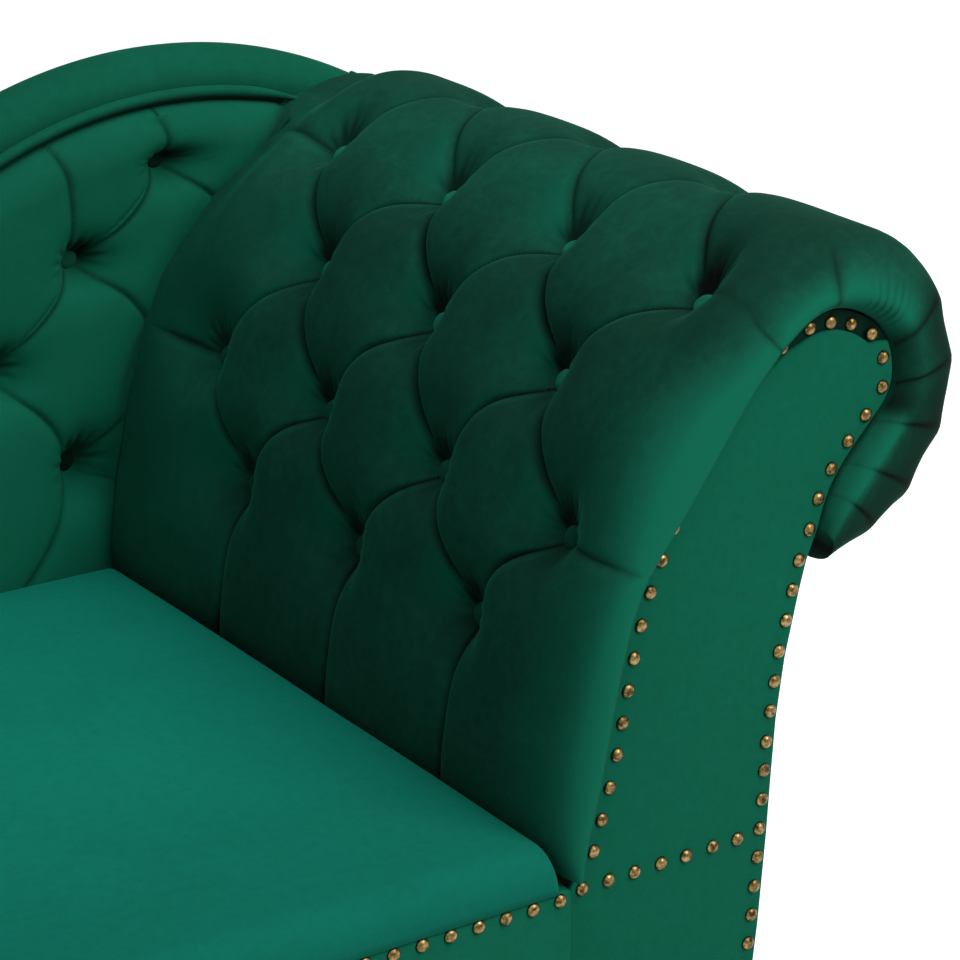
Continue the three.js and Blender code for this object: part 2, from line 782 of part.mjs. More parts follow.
// Height of the back pad over its board
function backPadHeight(x, z) {
  const across = (x - backColumnX) / backHalfPitch + 1;
  const line = backLine(z);
  const crest = lerp(backCrest, backCrestTop, clamp(z / backPadTopHeight, 0, 1));
  const crease = lerp(crest * 0.6, backDimple, buttonNearness(across, line));
  const height = lerp(crease, crest, backPillow(across, line));
  const fromTop = rollRiseAt(x) - backPadInset - z;
  const fromFoot = x - backPadFootX;
  const edge = clamp(Math.min(fromTop, fromFoot) / backEdgeRounding, 0, 1);
  return lerp(backEdge, height, Math.sqrt(1 - (1 - edge) ** 2));
}

const backCell = backHalfPitch / 3;
const backRightColumns = 7;
const backPadColumns = Math.ceil((backColumnX - backPadFootX) / backCell) + backRightColumns;
const backPadLeft = backColumnX - (backPadColumns - backRightColumns) * backCell;
const backLineCells = 3;
const backPadRows = 5 * backLineCells;
const backPadFaceY = backBoardY - fitGap;

const backColumnPlace = (j) => backPadLeft + j * backCell;
const backRowPlace = (i) => backRise(i / backLineCells);
const backSheet = paddedSolid(
  backPadRows,
  backPadColumns,
  (i, j) => {
    const x = backColumnPlace(backPadColumns - j);
    const z = backRowPlace(i);
    return [x, backPadFaceY - Math.max(backPadHeight(x, z), backEdge), z];
  },
  (i, j) => [backColumnPlace(backPadColumns - j), backPadFaceY, backRowPlace(i)],
  (i, j) => {
    const across = Math.floor((backPadColumns - j - 1 - (backPadColumns - backRightColumns)) / 3 + 0.01) + 1;
    const line = Math.floor(i / backLineCells + 0.01);
    return Math.abs(across + line) % 2 === 1;
  },
);

// The pad's outline: the arm's crest, the roll and the seat
const backPadPlaces = [0.6, 1, 2, 3, 4, 5, 6, 7, 8, 9, 9.7];
const padSeam = backPadPlaces.map((place) => {
  const crest = crestAt(place);
  const direction = padDirection(place);
  return new THREE.Vector2(crest.x + direction.x * softGap, crest.y + direction.z * softGap);
});
const seamTop = padSeam[padSeam.length - 1];
const padTop = rollLine(backPadInset, 10, rollStartAngle)
  .filter(([x]) => x < seamTop.x)
  .map(([x, z]) => new THREE.Vector2(x, z));
padTop[padTop.length - 1].y = backPadBottom;
const backPadOutline = [new THREE.Vector2(padSeam[0].x, backPadBottom), ...padSeam, ...padTop];
const backPadPrism = boardFrom(
  backPadOutline,
  backPadFaceY - backCrest - cutOverrun,
  backPadFaceY + cutOverrun,
);

// Back buttons: the columns that hold a button in each row, counted in half pitches from the arm's side
const backButtonColumns = { first: [0, -2, -4, -6, -8, -10], second: [-1], third: [0], fourth: [1] };
const backHoles = [];
Object.entries(backButtonColumns).forEach(([rowName, columns]) => {
  const height = backRowShares[rowName] * backPadTopHeight;
  const forward = new THREE.Vector3(0, -1, 0);
  const seatY = backPadFaceY - backDimple - backButtonSeat;
  const seats = columns.map((column) => {
    return new THREE.Vector3(backColumnX + column * backHalfPitch, seatY, height);
  });
  const depth = backDimple + backButtonSeat + backBoardThickness + twineSlack;
  backHoles.push(...twineHoles(seats, forward, depth));
  addPiece(`back_button_row_${rowName}`, buttonRow(seats, forward, seats.map(() => depth)), twineFinish());
});
const backPadSolid = solidFrom(backSheet)
  .intersect(solidFrom(backPadPrism))
  .subtract(solidFrom(rollCut))
  .subtract(solidFrom(weltCut));
addPiece('back_tufted_pad', cutBy(geometryFrom(backPadSolid), backHoles), velvet());
addPiece('back_board', cutBy(backBoardPlain, [rollCut, ...backHoles]), plywood());
addPiece('back_top_roll', backTopRoll, velvet());
addPiece('back_welt', backWelt, velvet());

// Seat frame
const railEndX = innerFootX + boardInset - fitGap;
addPiece('front_rail', block(frameFootX, railEndX, boardFrontY, boardBackY, railBottomZ, 0), frameWood());
const backRailBackY = backBoardY + boardThickness;
const railHighX = headRailX + boardThickness;
const backRail = block(frameFootX, railHighX, backBoardY, backRailBackY, railBottomZ, 0);
addPiece('back_rail', backRail, frameWood());
const betweenRailsBack = backBoardY - fitGap;
addPiece(
  'foot_end_rail',
  block(frameFootX, frameFootX + boardThickness, betweenBoardsFront, betweenRailsBack, railBottomZ, 0),
  frameWood(),
);
const battenLowX = frameFootX + boardThickness + fitGap;
const battenFrontY = rearBoardY;
addPiece(
  'seat_rear_batten',
  block(battenLowX, railEndX, battenFrontY, betweenRailsBack, -innerRailHeight, 0),
  frameWood(),
);
const braceX = (frameFootX + railEndX) / 2;
addPiece(
  'seat_brace',
  block(braceX, braceX + boardThickness, betweenBoardsFront, battenFrontY - fitGap, -braceHeight, 0),
  frameWood(),
);

// Webbing under the seat, lengthwise straps on the rails and crosswise ones over them
const strapEndX = boardInnerX + boardThickness;
const strapSpan = battenFrontY - betweenBoardsFront;
for (let i = 0; i < lengthStraps; i += 1) {
  const middle = betweenBoardsFront + ((i + 0.5) / lengthStraps) * strapSpan;
  const strap = block(
    frameFootX,
    strapEndX,
    middle - webbingWidth / 2,
    middle + webbingWidth / 2,
    fitGap,
    fitGap + webbingThickness,
  );
  addPiece(`lengthwise_webbing_${i + 1}`, strap, webbing());
}
for (let i = 0; i < crossStraps; i += 1) {
  const middle = lerp(frameFootX, railEndX, (i + 0.5) / crossStraps);
  const strap = block(
    middle - webbingWidth / 2,
    middle + webbingWidth / 2,
    boardFrontY,
    betweenRailsBack,
    webTopZ + fitGap,
    webTopZ + fitGap + webbingThickness,
  );
  addPiece(`crosswise_webbing_${i + 1}`, strap, webbing());
}

// Seat: a foam block and the cover drawn over it, both crowned and rounded at the front and foot
const seatLowX = -seatLength - seatOverhang / 4;
const seatHighX = -seatSideGap - scrollReach * 0.09;
const seatFrontY = -seatOverhang;
const seatBackY = frameDepth - fitGap;
const seatNotchX = -lowRollLength - rollEndRadius - rollRadius - softGap;
const seatNotchY = seatDepth - softGap;

// Rise of the seat's top over its bottom at a distance from each edge
function edgeRise(distance, rounding) {
  const inside = clamp(distance / rounding, 0, 1);
  return rounding * Math.sqrt(1 - (1 - inside) ** 2);
}

function seatTop(x, y, inset) {
  const rounding = seatEdgeRounding;
  const front = edgeRise(y - seatFrontY - inset, rounding);
  const foot = edgeRise(x - seatLowX - inset, rounding);
  const back = edgeRise(seatBackY - inset - y, rounding);
  const wall = seatPadRise - rounding;
  const crownX = Math.sin(Math.PI * clamp((x - seatLowX) / (seatHighX - seatLowX), 0, 1));
  const crownY = Math.sin(Math.PI * clamp((y - seatFrontY) / (seatDepth - seatFrontY), 0, 1));
  const crown = seatCrown * Math.sqrt(crownX * crownY);
  return seatBottomZ + wall + Math.min(front, foot, back) + crown - inset;
}

// Grid places with more of them near the rounded ends
function roundedPlaces(low, high, lowRound, highRound, cells) {
  const places = [];
  const roundSteps = 3;
  for (let i = 0; i < roundSteps; i += 1) {
    places.push(low + lowRound * (1 - Math.cos((i / roundSteps) * (Math.PI / 2))));
  }
  for (let i = 0; i <= cells; i += 1) {
    places.push(lerp(low + lowRound, high - highRound, i / cells));
  }
  for (let i = roundSteps - 1; highRound > 0 && i >= 0; i -= 1) {
    places.push(high - highRound * (1 - Math.cos((i / roundSteps) * (Math.PI / 2))));
  }
  return places;
}

function seatBlock(inset, bottomZ) {
  const xs = roundedPlaces(seatLowX + inset, seatHighX - inset, seatEdgeRounding, 0, 11);
  const ys = roundedPlaces(seatFrontY + inset, seatBackY - inset, seatEdgeRounding, seatEdgeRounding, 6);
  const rows = ys.length - 1;
  const columns = xs.length - 1;
  return paddedSolid(
    rows,
    columns,
    (i, j) => [xs[columns - j], ys[i], seatTop(xs[columns - j], ys[i], inset)],
    (i, j) => [xs[columns - j], ys[i], bottomZ],
    () => true,
  );
}

// Room for the back at the seat's rear: one block for the back pad and one for the roll's low end
function seatNotches(inset) {
  const low = seatBottomZ - cutOverrun * 2;
  const high = seatBottomZ + seatPadRise + seatCrown + cutOverrun;
  const padBlock = block(
    backPadFootX - softGap - inset,
    seatHighX + cutOverrun,
    seatNotchY - inset,
    seatBackY + cutOverrun,
    low,
    high,
  );
  const rollBlock = block(
    seatNotchX - inset,
    backPadFootX,
    rollY - rollRadius - softGap - inset,
    seatBackY + cutOverrun,
    low,
    high,
  );
  return [padBlock, rollBlock];
}

const foamInset = seatCoverThickness + fitGap;
const seatFoam = cutBy(seatBlock(foamInset, seatBottomZ), seatNotches(foamInset));
addPiece('seat_foam', seatFoam, foam());
const coverOuter = cutBy(seatBlock(0, seatBottomZ), seatNotches(0));
const hollowInset = seatCoverThickness;
const hollow = cutBy(seatBlock(hollowInset, seatBottomZ - cutOverrun), seatNotches(hollowInset));
addPiece('seat_cover', cutBy(coverOuter, [hollow]), velvet());

// Borders under the nail row
const borderTopZ = seatBottomZ - fitGap;
const frontBorder = block(
  -seatLength + skinThickness + fitGap,
  -borderSeam,
  -borderProud,
  skinThickness,
  railBottomZ,
  borderTopZ,
);
addPiece('front_border_cover', frontBorder, velvet());
const footBorder = block(
  -seatLength,
  -seatLength + skinThickness,
  -borderProud,
  frameDepth - skinThickness - fitGap,
  railBottomZ,
  borderTopZ,
);
addPiece('foot_border_cover', footBorder, velvet());

// Turned legs with their corner blocks and bolts. Each row is radius and height as shares of the leg.
const legShares = [
  [1, 1],
  [1, 0.9],
  [0.8, 0.87],
  [0.97, 0.74],
  [0.86, 0.6],
  [0.62, 0.5],
  [0.76, 0.46],
  [0.62, 0.42],
  [0.56, 0.2],
];
const legSegments = 10;

function legShape() {
  const profile = [new THREE.Vector2(0, 0), new THREE.Vector2(legFootRadius, 0)];
  [...legShares].reverse().forEach(([radius, height]) => {
    profile.push(new THREE.Vector2(radius * legTopRadius, height * legHeight));
  });
  profile.push(new THREE.Vector2(boltHoleRadius, legHeight));
  profile.push(new THREE.Vector2(boltHoleRadius, legHeight - boltInLeg - fitGap));
  profile.push(new THREE.Vector2(0, legHeight - boltInLeg - fitGap));
  const geometry = new THREE.LatheGeometry(profile, legSegments);
  geometry.rotateX(Math.PI / 2);
  return geometry;
}

// A hanger bolt with its nut on top of the corner block
function boltShape() {
  const shankTop = cornerBlockHeight + fitGap * 2;
  const nutBase = shankTop;
  const profile = [
    [0, -boltInLeg],
    [boltRadius, -boltInLeg],
    [boltRadius, nutBase],
    [boltNutRadius, nutBase],
    [boltNutRadius, nutBase + boltNutHeight],
    [boltRadius, nutBase + boltNutHeight],
    [boltRadius, nutBase + boltNutHeight * 1.6],
    [0, nutBase + boltNutHeight * 1.6],
  ].map(([x, y]) => new THREE.Vector2(x, y));
  const geometry = new THREE.LatheGeometry(profile, 8);
  geometry.rotateX(Math.PI / 2);
  return geometry;
}

const blockOutline = new THREE.Shape();
blockOutline.moveTo(-cornerBlockSize / 2, -cornerBlockSize / 2);
blockOutline.lineTo(cornerBlockSize / 2, -cornerBlockSize / 2);
blockOutline.lineTo(cornerBlockSize / 2, 0);
blockOutline.lineTo(0, cornerBlockSize / 2);
blockOutline.lineTo(-cornerBlockSize / 2, cornerBlockSize / 2);
blockOutline.closePath();
const blockHole = new THREE.Path();
blockHole.absarc(0, 0, boltHoleRadius, 0, Math.PI * 2, false);
blockOutline.holes.push(blockHole);

// The four corners: the inside corner of the frame and which way the block is turned
const footCornerX = frameFootX + boardThickness + fitGap;
const headCornerX = headRailX - fitGap;
const frontCornerY = boardBackY + fitGap;
const rearCornerY = battenFrontY - fitGap;
const half = cornerBlockSize / 2;
const corners = [
  { name: 'front_foot', x: footCornerX + half, y: frontCornerY + half, turn: 0 },
  { name: 'rear_foot', x: footCornerX + half, y: rearCornerY - half, turn: -Math.PI / 2 },
  { name: 'front_head', x: headCornerX - half, y: frontCornerY + half, turn: Math.PI / 2 },
  { name: 'rear_head', x: headCornerX - half, y: rearCornerY - half, turn: Math.PI },
];
for (const corner of corners) {
  const cornerBlock = new THREE.ExtrudeGeometry(blockOutline, {
    depth: cornerBlockHeight,
    bevelEnabled: false,
    curveSegments: 6,
  });
  const blockPiece = addPiece(`corner_block_${corner.name}`, cornerBlock, frameWood());
  blockPiece.rotation.z = corner.turn;
  blockPiece.position.set(corner.x, corner.y, railBottomZ);
  const leg = addPiece(`leg_${corner.name}`, legShape(), legWood());
  leg.position.set(corner.x, corner.y, floorZ - fitGap);
  const bolt = addPiece(`leg_bolt_${corner.name}`, boltShape(), steel());
  bolt.position.set(corner.x, corner.y, railBottomZ);
}

// Dust cover stapled under the rails, with its corners cut back round the legs
const dustLowX = frameFootX;
const dustHighX = headRailX + boardThickness;
const dustNotchX = footCornerX + half + legTopRadius + cutOverrun;
const dustNotchHeadX = headCornerX - half - legTopRadius - cutOverrun;
const dustFrontY = boardFrontY;
const dustRearY = backRailBackY;
const dustNotchFrontY = frontCornerY + half + legTopRadius + cutOverrun;
const dustNotchRearY = rearCornerY - half - legTopRadius - cutOverrun;
const dustOutline = new THREE.Shape(
  [
    [dustNotchX, dustFrontY],
    [dustNotchHeadX, dustFrontY],
    [dustNotchHeadX, dustNotchFrontY],
    [dustHighX, dustNotchFrontY],
    [dustHighX, dustNotchRearY],
    [dustNotchHeadX, dustNotchRearY],
    [dustNotchHeadX, dustRearY],
    [dustNotchX, dustRearY],
    [dustNotchX, dustNotchRearY],
    [dustLowX, dustNotchRearY],
    [dustLowX, dustNotchFrontY],
    [dustNotchX, dustNotchFrontY],
  ].map(([x, y]) => new THREE.Vector2(x, y)),
);
const dustCover = new THREE.ExtrudeGeometry(dustOutline, { depth: dustThickness, bevelEnabled: false });
dustCover.translate(0, 0, railBottomZ - fitGap - dustThickness);
addPiece('dust_cover', dustCover, dustCloth());

// The origin is the middle of the couch's box, on the floor
const bounds = new THREE.Box3().setFromObject(couch, true);
const middle = bounds.getCenter(new THREE.Vector3());
couch.position.set(-middle.x, -middle.y, -bounds.min.z);

export default couch;
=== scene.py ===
"""Chesterfield fainting couch in emerald velvet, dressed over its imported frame.

Lengths are in millimetres on the bench of the frame maker: x runs from the foot of the arm towards the head end,
y from the face of the arm's front facing to the back, and z up from the row of nails. Bench turns them into the
frame's metres.
"""

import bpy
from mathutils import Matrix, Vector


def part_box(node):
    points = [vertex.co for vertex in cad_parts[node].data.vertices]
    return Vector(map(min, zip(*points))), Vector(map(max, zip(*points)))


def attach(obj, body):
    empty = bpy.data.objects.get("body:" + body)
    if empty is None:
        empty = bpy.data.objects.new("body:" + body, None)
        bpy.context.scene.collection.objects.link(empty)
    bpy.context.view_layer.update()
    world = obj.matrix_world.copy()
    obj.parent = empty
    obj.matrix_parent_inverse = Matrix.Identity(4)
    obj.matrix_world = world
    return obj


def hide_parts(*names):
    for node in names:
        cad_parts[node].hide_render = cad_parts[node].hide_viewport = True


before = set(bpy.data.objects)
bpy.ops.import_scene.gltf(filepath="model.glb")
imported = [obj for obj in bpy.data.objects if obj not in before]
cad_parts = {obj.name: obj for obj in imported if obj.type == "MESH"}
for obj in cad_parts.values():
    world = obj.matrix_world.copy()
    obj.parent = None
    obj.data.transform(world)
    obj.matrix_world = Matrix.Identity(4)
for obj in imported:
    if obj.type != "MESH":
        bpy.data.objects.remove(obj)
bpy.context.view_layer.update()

import logging
import math
from dataclasses import dataclass
from enum import Enum
from typing import Callable, Iterable, Sequence

import bmesh
import bpy
import numpy as np
from mathutils import Matrix, Vector, noise

log = logging.getLogger("fainting_couch")
MM = 0.001
# how near two points of a skin are to be one, in mm
WELD = 0.02
# low x of the arm's front facing on the bench
FACING_FOOT = -11.7
Numbers = float | np.ndarray
Points = tuple[Numbers, ...]
Place = Callable[[np.ndarray, np.ndarray], Points]
Held = Callable[[np.ndarray, np.ndarray], np.ndarray]
Radii = Callable[[np.ndarray], Points]
Outline = Sequence[tuple[float, float]]
Corner = tuple[float, float, float]
Mesh = bmesh.types.BMesh
Finish = bpy.types.Material
Tree = bpy.types.NodeTree
Node = bpy.types.Node
Socket = bpy.types.NodeSocket


class Slot(str, Enum):
    """The names of the record's material slots."""

    TUFTED = "velvet_tufted"
    PLAIN = "velvet_plain"
    BUTTON = "velvet_button"
    NAIL = "nail_brass"
    LEG = "leg_wood"
    DUST = "dust_cloth"


# ---- Sums that many pieces use


def lerp(low: Numbers, high: Numbers, share: Numbers) -> Numbers:
    """Return the value at a share of the way from low to high."""
    return low + (high - low) * share


def ease(low: float, high: float, value: Numbers) -> Numbers:
    """Return a smooth step, 0 below low and 1 above high."""
    t = np.clip((value - low) / (high - low), 0.0, 1.0)
    return t * t * (3 - 2 * t)


def arc_share(inside: Numbers) -> Numbers:
    """Return the height of a quarter round, 0 at its edge and 1 where it is full."""
    return np.sqrt(1 - (1 - np.clip(inside, 0, 1)) ** 2)


def smooth_at(values: Sequence[float], place: Numbers) -> Numbers:
    """Read a row of numbers at places between them.

    Args:
        values: The numbers at the whole places.
        place: Where to read, held within the row.

    Returns:
        The value of a smooth curve through the numbers.
    """
    row = np.asarray(values, float)
    last = len(row) - 1
    t = np.clip(place, 0, last)
    i = np.minimum(t.astype(int) if isinstance(t, np.ndarray) else int(t), last - 1)
    before, after = row[np.maximum(i - 1, 0)], row[np.minimum(i + 2, last)]
    f = t - i
    slope_in, slope_out = (row[i + 1] - before) / 2, (after - row[i]) / 2
    return (
        row[i] * (2 * f**3 - 3 * f**2 + 1)
        + slope_in * (f**3 - 2 * f**2 + f)
        + row[i + 1] * (3 * f**2 - 2 * f**3)
        + slope_out * (f**3 - f**2)
    )


def ripple(x: float, y: float, z: float, size: float) -> float:
    """Return smooth noise from -1 to 1 at a place, with features of a size in mm."""
    return noise.noise(Vector((x / size, y / size, z / size)))


@dataclass(frozen=True)
class Bench:
    """The frame maker's bench, which every length is measured on."""

    origin: Vector

    @classmethod
    def from_frame(cls) -> "Bench":
        """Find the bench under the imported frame, by the arm's front facing and the top of the front rail.

        Returns:
            The bench, with its origin in the frame's metres.
        """
        facing_low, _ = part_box("arm_front_facing")
        _, rail_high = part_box("front_rail")
        return cls(Vector((facing_low.x - FACING_FOOT * MM, facing_low.y, rail_high.z)).freeze())

    def at(self, x: float, y: float, z: float) -> Vector:
        """Return a bench place in the frame's metres."""
        return self.origin + Vector((x, y, z)) * MM


# ---- Shapes


@dataclass(frozen=True)
class Scroll:
    """The arm's scroll: the wood's edge and the crest of the pad over it, from the seat over the head to the neck."""

    # what the shares below are of, across and up, and where the boards end at the rails' bottom
    reach: float = 250
    rise: float = 360
    foot_z: float = -235
    # x and z of the wood's edge, and x and z of the crest over it
    rows: tuple[tuple[float, float, float, float], ...] = (
        (-0.016, 0.03, -0.064, 0.033),
        (0.012, 0.09, -0.092, 0.1),
        (0.064, 0.22, -0.076, 0.239),
        (0.096, 0.33, -0.044, 0.356),
        (0.128, 0.44, -0.008, 0.467),
        (0.168, 0.545, 0.036, 0.572),
        (0.224, 0.633, 0.088, 0.667),
        (0.308, 0.73, 0.16, 0.78),
        (0.4, 0.822, 0.256, 0.88),
        (0.496, 0.908, 0.372, 0.97),
        (0.6, 0.972, 0.512, 1.047),
        (0.712, 1.005, 0.672, 1.105),
        (0.824, 1.005, 0.848, 1.13),
        (0.924, 0.975, 1.02, 1.097),
        (0.984, 0.928, 1.148, 1.022),
        (1.004, 0.867, 1.22, 0.922),
        (0.988, 0.82, 1.232, 0.817),
        (0.94, 0.78, 1.204, 0.728),
        (0.88, 0.736, 1.14, 0.655),
        (0.828, 0.692, 1.048, 0.594),
        (0.792, 0.647, 0.92, 0.553),
        (0.768, 0.594, 0.792, 0.528),
    )
    # x and z of the outer edge, down from the neck and then along the rail, where z is a share of foot_z
    outer: tuple[tuple[float, float], ...] = (
        (0.733, 0.534),
        (0.709, 0.471),
        (0.669, 0.347),
        (0.645, 0.226),
        (0.633, 0.099),
        (0.625, -0.006),
    )
    outer_foot: tuple[tuple[float, float], ...] = ((0.604, 0.3), (0.562, 0.7), (0.536, 1.0))

    @property
    def neck(self) -> int:
        """The last place of the scroll, where the wood is narrowest."""
        return len(self.rows) - 1

    def wood(self, place: Numbers) -> tuple[Numbers, Numbers]:
        """Return x and z of the wood's edge at a place."""
        return (
            smooth_at([row[0] for row in self.rows], place) * self.reach,
            smooth_at([row[1] for row in self.rows], place) * self.rise,
        )

    def crest(self, place: Numbers) -> tuple[Numbers, Numbers]:
        """Return x and z of the pad's crest at a place."""
        return (
            smooth_at([row[2] for row in self.rows], place) * self.reach,
            smooth_at([row[3] for row in self.rows], place) * self.rise,
        )

    def through(self, place: Numbers, share: Numbers) -> tuple[Numbers, Numbers]:
        """Return x and z at a share of the pad's thickness over the wood."""
        (wx, wz), (cx, cz) = self.wood(place), self.crest(place)
        return lerp(wx, cx, share), lerp(wz, cz, share)

    def outside_edge(self) -> list[tuple[float, float]]:
        """Return the arm's outer edge from the neck down to the rail's bottom."""
        upper = [self.wood(self.neck)] + [(x * self.reach, z * self.rise) for x, z in self.outer]
        return upper + [(x * self.reach, z * self.foot_z) for x, z in self.outer_foot]


@dataclass(frozen=True)
class ArmTufts:
    """Where the arm's buttons and creases lie: across counts half pitches from the first button, line the rows."""

    half_pitch: float = 75
    # y of the first button, and how far the buttons go on, in half pitches and in rows
    first_button: float = 70
    columns: int = 6
    lines: int = 6
    # the scroll's place of each whole line, and how far the layout goes on before the first and past the last
    places: tuple[float, ...] = (1.38, 3.5, 5.55, 7.82, 10.05, 12.75, 15.7, 18.6)
    start: float = 0.64
    end: float = 0.8
    # share of the pad's thickness that each row's buttons sit on
    seats: tuple[float, ...] = (0.1, 0.1, 0.12, 0.14, 0.16, 0.16)
    # where the pleats lie that are gathered round the roll's front
    pleat_lines: tuple[float, ...] = (3.44, 3.92, 4.55, 5.47, 5.9, 6.42, 6.95, 7.35, 7.8)
    # how much fuller the stuffing is towards the front
    growth_lines: tuple[float, ...] = (3.2, 4.4, 5.2, 5.7, 6.15, 6.7, 7.15, 7.8)
    growths: tuple[float, ...] = (0, 0.18, 0.13, 0.11, 0.15, 0.15, 0.21, 0.34)

    @property
    def last_line(self) -> int:
        """The last whole line of the layout."""
        return len(self.places) - 1

    def place(self, line: Numbers, neck: float) -> Numbers:
        """Return the scroll's place of a line, which may lie between two rows."""
        lines = [-self.start, *range(len(self.places)), self.last_line + self.end]
        return np.interp(line, lines, [0.0, *self.places, neck])


@dataclass(frozen=True)
class Swell:
    """How deep-buttoned cloth swells: broad domes, thin sharp creases and a hollow round each button.

    Lengths along the cloth are in half pitches, and heights are shares of the pad's thickness.
    """

    # height of the domes, and how full they are: a smaller number gives a flatter top and steeper sides
    dome: float = 0.17
    fullness: float = 0.36
    # how far each dome's top leans towards its upper crease, and how far the creases bow
    lean: float = 1.22
    bows: tuple[float, float] = (0.12, 0.05)
    # depth and width of the stitched-looking line at the bottom of a crease
    cut: float = 0.19
    cut_width: float = 0.034
    # radius of a button's hollow, how far it reaches past the button, and the small pleats in it
    hollow: float = 0.31
    behind: float = 0.62
    pleat: float = 0.05
    pleats: int = 14
    fan_radius: float = 0.24
    # how far from a button its hollow is darkest, across and along the lines, and how wide the shade is
    shade_at: tuple[float, float] = (0.07, 0.12)
    shade_radius: float = 0.19

    def in_tuft(self, p: np.ndarray, q: np.ndarray) -> tuple[np.ndarray, np.ndarray, np.ndarray]:
        """Return how far across its tuft a place lies, both ways, and how far the nearest crease is."""
        odd = 1 + 0.35 * np.sin(0.85 * p + 1.45 * q)
        first = ((p - self.bows[0] * odd * np.sin(np.pi * q / 2) ** 2) / 2) % 1
        second = ((q - self.bows[1] * odd * np.sin(np.pi * p / 2) ** 2) / 2) % 1
        near = np.minimum(np.minimum(first, 1 - first), np.minimum(second, 1 - second)) * math.sqrt(2)
        return first, second, near

    def level(self, p: np.ndarray, q: np.ndarray, relief: Numbers = 1.0) -> np.ndarray:
        """Return the cloth's level without the buttons' pull.

        Args:
            p: Place across the first set of creases, which lie at the even numbers.
            q: Place across the second set.
            relief: Share of the full depth that the creases have there.

        Returns:
            The level, 1 on the crest of a dome.
        """
        first, second, near = self.in_tuft(p, q)
        rise = np.sin(np.pi * first**self.lean) * np.sin(np.pi * second**self.lean)
        swell = np.abs(rise) ** self.fullness
        return 1 - relief * (self.dome * (1 - swell) + self.cut * np.exp(-near / self.cut_width))

    def pulled(
        self, level: np.ndarray, across: np.ndarray, line: np.ndarray, held: Held, seat: Numbers, width: Numbers = 1
    ) -> np.ndarray:
        """Sink the cloth to the buttons.

        Args:
            level: The level of the cloth.
            across: Place across.
            line: Place along the lines.
            held: Tells whether a crossing holds a button.
            seat: The level a button sits on.
            width: Share of the full width that the hollows have there.

        Returns:
            The level with a hollow round each button, deeper above it, where small pleats stand.
        """
        free = np.ones_like(level)
        near_a, near_l = nearest_crossing(across, line)
        for step_a, step_l in ((0, 0), (1, 1), (1, -1), (-1, 1), (-1, -1), (2, 0), (-2, 0), (0, 2), (0, -2)):
            a, l = near_a + step_a, near_l + step_l
            da, dl = across - a, line - l
            reach = np.hypot(da * np.where(da > 0, self.behind, 1.3), dl * np.where(dl > 0, 0.95, 1.15))
            free = free * (1 - held(a, l) * np.exp(-((reach / self.hollow / width) ** 1.5)))
        da, dl = across - near_a, line - near_l
        angle = np.arctan2(dl, da)
        fan = np.exp(-(((np.hypot(da, dl) - self.fan_radius) / 0.09) ** 2)) * (0.4 + 0.6 * np.sin(angle))
        folds = held(near_a, near_l) * self.pleat * fan * np.cos(self.pleats * angle + 0.6)
        return lerp(seat, level, free) + folds

    def shaded(self, across: np.ndarray, line: np.ndarray, held: Held) -> np.ndarray:
        """Return how deep in the shade of a hollow a place lies, which is darkest just above its button."""
        a, l = nearest_crossing(across, line)
        away = np.hypot(across - a - self.shade_at[0], 0.9 * (line - l - self.shade_at[1]))
        return held(a, l) * np.exp(-((away / self.shade_radius) ** 2.6))


def nearest_crossing(across: np.ndarray, line: np.ndarray) -> tuple[np.ndarray, np.ndarray]:
    """Return the crossing of two creases that a place lies nearest to, where a button can sit."""
    p, q = np.round((across + line) / 2), np.round((across - line) / 2)
    return p + q, p - q


